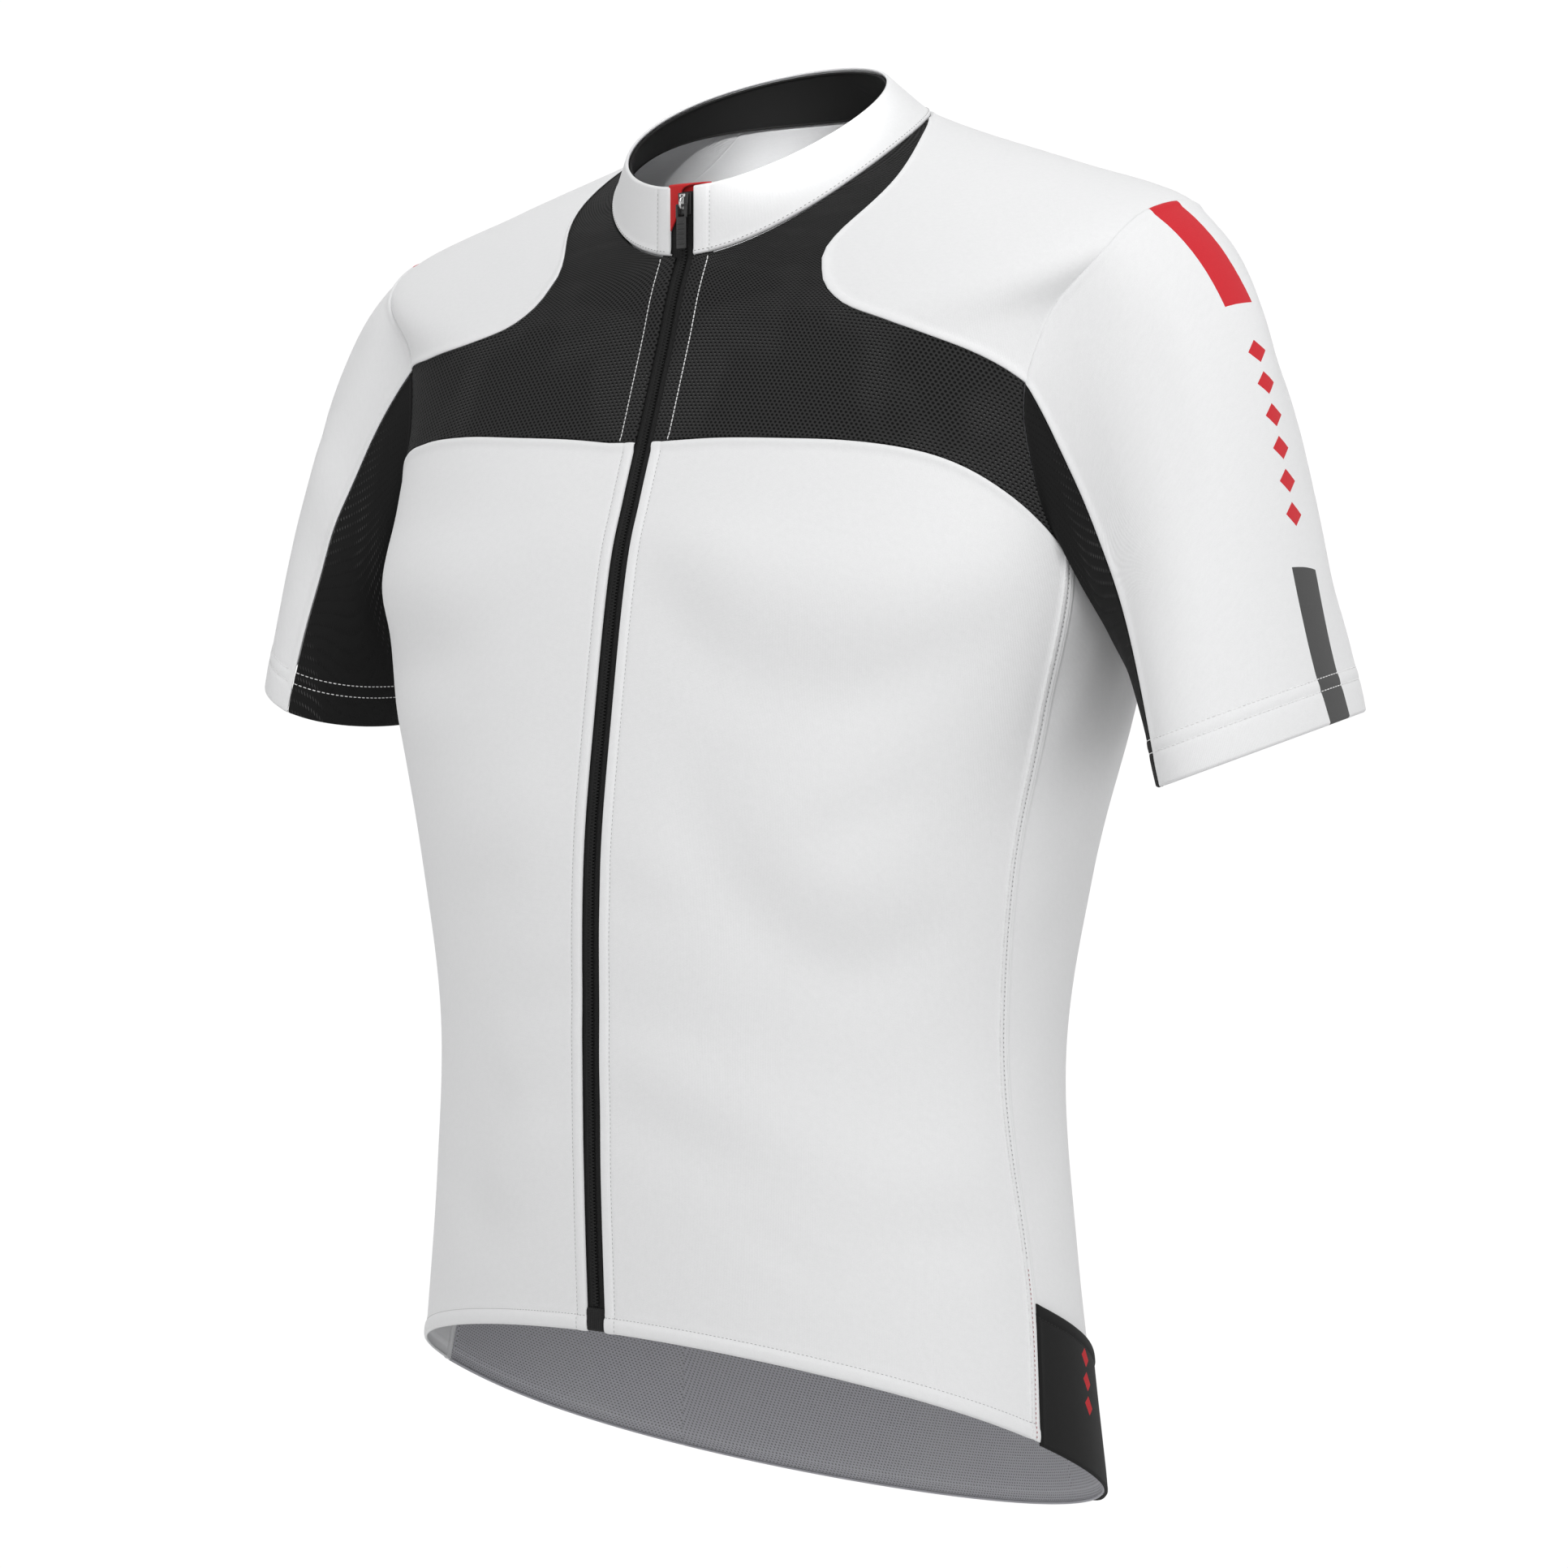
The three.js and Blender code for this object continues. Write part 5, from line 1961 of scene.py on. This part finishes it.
@dataclass
class Collar:
    """The white stand collar and the black facing inside it."""

    garment: Garment
    rows: int = 17
    columns: int = 161
    foot: float = 0.005
    facing_out: float = -1.9
    facing_half: float = 16.0
    facing_thick: float = 1.0
    overlap: float = 3.4  # how much further back the wearer's right end stops
    seam_stitch: Stitch = Stitch(Finish.GREY_THREAD, 2.3, 1.0, 0.15, 0.06)
    front_stitch: Stitch = Stitch(Finish.GREY_THREAD, 2.0, 1.1, 0.13, 0.05)

    def band(self, half: float, low: float, high: float) -> Array:
        """Places of a band round the neck, open at the front.

        Args:
            half: half its opening in millimetres.
            low: its foot, as a share of the collar's height.
            high: its top, likewise.

        Returns:
            The grid.
        """
        v = np.linspace(NECK + low, NECK + high, self.rows)
        t = front_t(half, np.minimum(v, COLLAR_TOP))[:, None]
        end = 180 - front_t(half + self.overlap, np.minimum(v, COLLAR_TOP))[:, None]
        round_ = t + (end - t) * np.linspace(0, 1, self.columns)
        return np.stack([round_, v[:, None] * np.ones(self.columns)], -1)

    def build(self) -> None:
        """Builds the collar and its facing."""
        edges = Edges(Edge.FOLD, Edge.FOLD, Edge.SEAM, Edge.ROUND)
        skin = self.garment.skin(self.band(ZIP_HALF, self.foot, 1.0), edges, 1, step=3.5)
        piece = Piece("collar", (Finish.WHITE, Finish.INSIDE), "white_cloth")
        piece.build(skin, self.garment.maps(skin))
        sew = self.garment.sewing.run
        sew(self.seam_stitch, *skin.line("bottom", 1.9))
        for side in ("start", "end"):
            sew(self.front_stitch, *skin.line(side, Edge.FOLD.stitched))
        band = self.band(self.facing_half, 0.03, 0.97)
        lining = self.garment.skin(band, ALL_ROUND, 1, self.facing_out, 4.5)
        black = (Finish.BLACK, Finish.BLACK)
        piece = Piece("collar_facing", black, "black_cloth", "hung", "collar_cloth", self.facing_thick)
        piece.build(lining, self.garment.maps(lining))


# The tab's fold over the collar's edge, a row at a time: how far in front of the edge and above
# it, then the tab's right and left end there, in millimetres.
GUARD_FOLD = np.array(
    [(-0.65, -20, -9.6, -8.6), (-0.65, -14, -9.6, -5.0), (-0.65, -8, -9.6, -3.0), (-0.65, -1.6, -9.6, -1.4)]
    + [(-0.55, 0.4, -9.6, 3), (-1.0, 0.95, -9.6, 8), (-2.0, 1.15, -9.4, 13), (-2.8, 0.95, -9, 13)]
    + [(-3.2, 0.2, -6.8, 13), (-3.25, -1.6, -7, 12.5), (-3.25, -12, -7, 10)]
)


@dataclass
class FrontZip:
    """The zip up the front: tapes, teeth, a stop at the hem, the guard, and the slider with its pull."""

    garment: Garment
    tape_in: float = 0.25
    tape_out: float = 15.0
    tape_behind: float = 1.7
    tape_rows: int = 220
    tape_thick: float = 0.8
    stop_top: float = 0.16
    stop_half: float = 5.5
    stop_long: float = 11.0
    stop_rows: int = 12
    pitch: float = 1.5
    tooth: float = 0.46  # radius of a tooth's section
    guard_thick: float = 0.9
    plate: float = 0.9  # thickness of the slider's plates
    loop: float = 0.62  # radius of the loop's wire
    ribs: int = 5
    frame_long: float = 5.2  # the pull's open part
    slider_x: float = 0.6
    slider_low: float = -41.0
    slider_high: float = -31.0
    slider_half: float = 3.0
    pull_out: float = 2.5
    pull_up: float = -0.9
    pull_half: float = 3.2
    pull_long: float = 20.0
    pull_thick: float = 1.1

    def build(self) -> None:
        """Builds the zip from the hem up."""
        self.tapes()
        self.teeth()
        self.stop()
        self.guard()
        self.slider()
        self.pull()

    def strip(
        self, xs: Sequence[float], low: float, high: float, out: float, rows: int
    ) -> tuple[Array, Array]:
        """A strip up the centre front.

        Args:
            xs: distances of its columns from the centre line.
            low: v of its foot.
            high: v of its top.
            out: how far it lies outside the body's surface.
            rows: how many rows it has.

        Returns:
            Its points and normals.
        """
        v = np.linspace(low, high, rows)
        t = np.stack([front_t(x, v) for x in xs], -1)
        v = v[:, None] * np.ones_like(t)
        normals = torso_normal(t, v)
        lift = body_relief(t, v) * (1 - smooth(FOLDS_END, NECK, v)) + out
        return torso(t, v) + normals * lift[..., None], normals

    def woven(
        self, piece: Piece, points: Array, normals: Array, across: Array, up: Array, sign: int = 1
    ) -> None:
        """Builds a cloth piece of the zip.

        Args:
            piece: what it is.
            points: its outer face.
            normals: the face's normals.
            across: places across the weave in millimetres.
            up: and along it.
            sign: -1 mirrors it to the wearer's right.
        """
        maps = {"cloth": np.stack(np.broadcast_arrays(across, up), -1) * MM}
        piece.build(Skin(points, points, normals, ALL_ROUND), maps, sign)

    def tapes(self) -> None:
        """The two woven tapes behind the folded edges, brought together behind the teeth."""
        xs = [self.tape_in, 0.9, 1.7, 2.3, 2.8, 3.4, 4.4, 5.6, 6.5, 8, 10, 12.5, self.tape_out]
        ridge = np.array([0, 0, 0, 0.25, 0.3, 0.1] + [0] * 7)[None, :, None]
        for sign, side in ((1, "left"), (-1, "right")):
            points, normals = self.strip(xs, 0.03, NECK + 0.93, -self.tape_behind, self.tape_rows)
            points = points + normals * ridge
            tape = (Finish.TAPE, Finish.TAPE)
            piece = Piece(f"zip_tape_{side}", tape, "zip_tape", thick=self.tape_thick)
            run = run_along(points[:, 0])[:, None]
            self.woven(piece, points, normals, np.array(xs)[None], run, sign)

    def teeth(self) -> None:
        """Two rows of small teeth that mesh in the middle."""
        top = NECK + (self.slider_low - 0.3 - RINGS[11, 3]) / (RINGS[12, 3] - RINGS[11, 3])
        points, normals = self.strip([CENTRE], self.stop_top + 0.01, top, 0.0, 400)
        points, normals = points[:, 0], normals[:, 0]
        where = run_along(points)
        shape = ((-0.45, -0.75, 0.0), (0.5, -0.62, 0.12), (1.45, -0.75, 0.3))  # aside, out and up
        lines = []
        for sign in (1, -1):
            first = 0.6 + (0.5 * self.pitch if sign < 0 else 0)
            starts = np.arange(first, where[-1] - 0.6, self.pitch)
            parts = []
            for x, out, rise in shape:
                at = starts + rise
                middle = read_line(points, where, at) + read_line(normals, where, at) * out
                parts.append(middle + np.array([sign * x, 0, 0]))
            lines.extend(np.stack(parts, 1))
        made = tubes("zip_teeth", lines, self.tooth, 1, Finish.TEETH)
        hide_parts("zip_chain")

    def stop(self) -> None:
        """The folded black end of the zip at the hem."""
        half = self.stop_half
        xs = np.array([-half, -5.3, -4.9, -3.2, -1.5, CENTRE, 1.5, 3.2, 4.9, 5.3, half])[None]
        points, normals = self.strip(list(xs[0]), 0.005, self.stop_top, 0.35, self.stop_rows)
        v = np.linspace(0, 1, self.stop_rows)[:, None]
        curl = -0.9 * (np.clip(1 - (half - np.abs(xs)) / 0.7, 0, 1) ** 2 + (v < 0.02) + (v > 0.98))
        rough = 0.12 * np.sin(xs * 2.3 + 9 * v) * np.cos(17 * v)
        points = points + normals * np.clip(curl + rough, -0.95, 1)[..., None]
        piece = Piece("zip_stop", (Finish.TAPE, Finish.TAPE), "zip_tape", held="folded", thick=1.0)
        self.woven(piece, points, normals, xs, v * self.stop_long)

    def guard(self) -> None:
        """The red tab beside the slider, folded over the collar's edge and down inside."""
        rows, columns = 60, 18
        fold = along(GUARD_FOLD, np.linspace(0, len(GUARD_FOLD) - 1, rows))
        y0, z0, half = RINGS[12, 1], RINGS[12, 3], RINGS[12, 0]
        way = np.gradient(fold[:, :2], axis=0)
        way /= np.linalg.norm(way, axis=1, keepdims=True)
        off = np.stack([way[:, 1], -way[:, 0]], -1) * self.guard_thick / 2
        share = np.linspace(0, 1, columns)[None]
        x = fold[:, 2:3] + (fold[:, 3:4] - fold[:, 2:3]) * share
        y = y0 - fold[:, :1] - off[:, :1] + x**2 / (2 * half)
        points = np.stack([x, y, z0 + fold[:, 1:2] + off[:, 1:2] + 0 * x], -1)
        normals = np.stack([0 * x, -way[:, 1:2] + 0 * x, -way[:, :1] + 0 * x], -1)
        red = (Finish.RED, Finish.RED)
        piece = Piece("zip_guard", red, "red_cloth", "folded", "collar_cloth", self.guard_thick)
        self.woven(piece, points, normals, x, run_along(fold[:, :2])[:, None])

    def block(
        self, bm: bmesh.types.BMesh, size: Triple, at: Triple, round_: float, segments: int = 3
    ) -> list[bmesh.types.BMVert]:
        """Adds a rounded block to a bmesh.

        Args:
            bm: the bmesh.
            size: the block's size in millimetres.
            at: its middle.
            round_: the radius of its edges.
            segments: how finely they are rounded.

        Returns:
            Its vertices.
        """
        made = bmesh.ops.create_cube(bm, size=1.0)["verts"]
        bmesh.ops.scale(bm, vec=Vector(size) * MM, verts=made)
        bmesh.ops.translate(bm, vec=Vector(at) * MM, verts=made)
        edges = list({e for v in made for e in v.link_edges})
        out = bmesh.ops.bevel(
            bm, geom=edges, offset=round_ * MM, segments=segments, profile=0.5, affect="EDGES", material=-1
        )
        return list({v for f in out["faces"] for v in f.verts})

    def finish_piece(
        self, bm: bmesh.types.BMesh, name: str, finish: Finish, body: str = "jersey"
    ) -> bpy.types.Object:
        """Turns a bmesh into a piece.

        Args:
            bm: the bmesh.
            name: the piece's name.
            finish: its finish.
            body: the body that it rides on.

        Returns:
            The piece.
        """
        for face in bm.faces:
            face.smooth = True
        mesh = mesh_from(bm, name)
        mesh.materials.append(FINISHES.of(finish))
        made = link(mesh, name, body)
        return made

    def slider(self) -> None:
        """The slider's two plates and the wire loop that carries the pull."""
        y, mid = RINGS[12, 1], (self.slider_low + self.slider_high) / 2
        high = self.slider_high - self.slider_low
        plate = (2 * self.slider_half, self.plate, high)
        bm = bmesh.new()
        front = self.block(bm, plate, (self.slider_x, y - 1.1, mid), 0.4)
        self.block(bm, plate, (self.slider_x, y + 0.7, mid), 0.4)
        self.block(bm, (1.6, 2.2, high * 0.5), (self.slider_x, y - 0.2, mid + 1.5), 0.3)
        for vert in front:  # the front plate narrows downwards
            low = smooth(mid + 1, self.slider_low, np.asarray(vert.co.z / MM))
            aside = vert.co.x / MM - self.slider_x
            vert.co.x = (self.slider_x + aside * (1 - 0.22 * float(low))) * MM
        plates = self.finish_piece(bm, "slider_plates", Finish.ENAMEL)
        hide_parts("zip_slider")
        bm = bmesh.new()
        self.block(bm, (1.7, 0.8, 7.0), (self.slider_x, y - 1.75, mid + 0.6), 0.3)
        self.block(bm, (3.4, 0.8, 1.5), (self.slider_x, y - 1.75, mid + 3.6), 0.3)
        self.finish_piece(bm, "slider_bridge", Finish.METAL)
        angles = np.radians(np.linspace(-90, 90, 15))
        out, up = y - 1.35 - 2.2 * np.cos(angles) ** 0.8, mid + 2.6 * np.sin(angles)
        line = np.stack([np.full(15, self.slider_x), out, up], -1)
        tubes("slider_loop", [line], self.loop, 3, Finish.METAL)

    def pull(self) -> None:
        """The moulded pull: a frame that hangs on the loop, and a tab with grip ribs."""
        y = RINGS[12, 1] - self.pull_out
        top = (self.slider_low + self.slider_high) / 2 + self.pull_up
        x, half, thick = self.slider_x, self.pull_half, self.pull_thick
        long = self.pull_long - self.frame_long
        bm = bmesh.new()
        self.block(bm, (2 * half, thick, 1.1), (x, y, top), 0.35)
        for sign in (-1, 1):
            self.block(bm, (1.3, thick, 6.0), (x + sign * (half - 0.65), y, top - 2.7), 0.35)
        self.block(bm, (2 * half - 1.0, thick, long), (x, y, top - self.frame_long - long / 2), 0.45)
        for k in range(self.ribs):
            at = (x, y - thick / 2 + 0.05, top - 8.2 - 2.3 * k)
            self.block(bm, (2 * half - 2.2, 0.7, 1.1), at, 0.3, 2)
        tab = self.finish_piece(bm, "pull_tab", Finish.PULL, "pull")
        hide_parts("zip_pull")


# ---------------------------------------------------------------- studio


@dataclass(frozen=True)
class Studio:
    """Camera, soft lights and a pale floor."""

    azimuth: float = 38.0
    distance: float = 1.965
    height: float = -0.247
    aim_height: float = -0.304
    aim_right: float = 0.0023
    lens: float = 95.16
    floor_height: float = -1.2
    floor_radius: float = 2.2
    horizon: float = 1.03  # the soft surround's brightness level with the jersey
    sky: float = 0.42  # above
    ground: float = 0.28  # and below

    def build(self) -> None:
        """Builds the studio."""
        scene = bpy.context.scene
        a = math.radians(self.azimuth)
        camera = bpy.data.objects.new("camera", bpy.data.cameras.new("camera"))
        scene.collection.objects.link(camera)
        camera.data.lens, camera.data.sensor_width = self.lens, 36.0
        camera.data.clip_start, camera.data.clip_end = 0.05, 100.0
        camera.location = (self.distance * math.sin(a), -self.distance * math.cos(a), self.height)
        aim = Vector((self.aim_right * math.cos(a), self.aim_right * math.sin(a), self.aim_height))
        camera.rotation_euler = (aim - camera.location).to_track_quat("-Z", "Y").to_euler()
        scene.camera = camera
        scene.view_settings.view_transform = "Standard"
        scene.world = self.surround()
        bm = bmesh.new()
        bmesh.ops.create_circle(bm, cap_ends=True, segments=96, radius=self.floor_radius)
        bmesh.ops.translate(bm, vec=(0, 0, self.floor_height), verts=bm.verts)
        mesh = mesh_from(bm, "studio_floor")
        mesh.materials.append(FINISHES.of(Finish.FLOOR))
        floor = bpy.data.objects.new("studio_floor", mesh)
        scene.collection.objects.link(floor)
        self.light("key", (1.05, -0.9, 1.4), 1.4, 24.5)
        self.light("back_soft", (-1.6, 1.3, 1.6), 1.6, 11.0)
        self.neck_light((0.75, -0.95, 0.28), (-0.035, 0.035, -0.008), 180.0)

    def surround(self) -> bpy.types.World:
        """A soft white surround: brightest at the horizon, greyer above and below.

        Returns:
            The world.
        """
        world = bpy.data.worlds.new("soft_white")
        world.use_nodes = True
        g = Graph(world.node_tree)
        up = g.parts(g.node("ShaderNodeTexCoord").outputs["Generated"])[2]
        above = g.ramp(up, 0.22, 0.42, self.horizon, self.sky)
        below = g.ramp(up, -0.42, -0.24, self.ground, self.horizon)
        lit = g.math("MINIMUM", above, below)
        back = world.node_tree.nodes["Background"]
        back.inputs["Color"].default_value = (1, 1, 1, 1)
        g.join(lit, back.inputs["Strength"])
        return world

    def light(self, name: str, at: Triple, size: float, power: float) -> None:
        """A square soft light aimed at the jersey.

        Args:
            name: its name.
            at: its place in metres.
            size: its side.
            power: its power in watts.
        """
        data = bpy.data.lights.new(name, "AREA")
        data.size, data.energy = size, power
        self.aim(data, at, (0, 0, -0.3))

    def neck_light(self, at: Triple, target: Triple, power: float) -> None:
        """A narrow soft beam through the neck opening, which lifts the shade inside the back.

        Args:
            at: its place in metres.
            target: where it points.
            power: its power in watts.
        """
        data = bpy.data.lights.new("neck_soft", "SPOT")
        data.energy, data.spot_size, data.spot_blend = power, math.radians(4.2), 1.0
        data.shadow_soft_size = 0.03
        self.aim(data, at, target)

    def aim(self, data: bpy.types.Light, at: Triple, target: Triple) -> None:
        """Puts a light into the scene.

        Args:
            data: the light.
            at: its place in metres.
            target: where it points.
        """
        made = bpy.data.objects.new(data.name, data)
        made.location = at
        made.rotation_euler = (Vector(target) - Vector(at)).to_track_quat("-Z", "Y").to_euler()
        bpy.context.scene.collection.objects.link(made)


def main() -> None:
    """Builds the jersey and its studio."""
    logging.basicConfig(level=logging.INFO, format="%(name)s: %(message)s")
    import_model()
    Studio().build()
    garment = Garment()
    for part in (BodyPanels, RearPocket, Sleeves, Collar, FrontZip):
        part(garment).build()
        log.info("%s built", part.__name__)
    garment.sewing.build("sewing", "white_cloth")


if __name__ == "__main__":
    main()
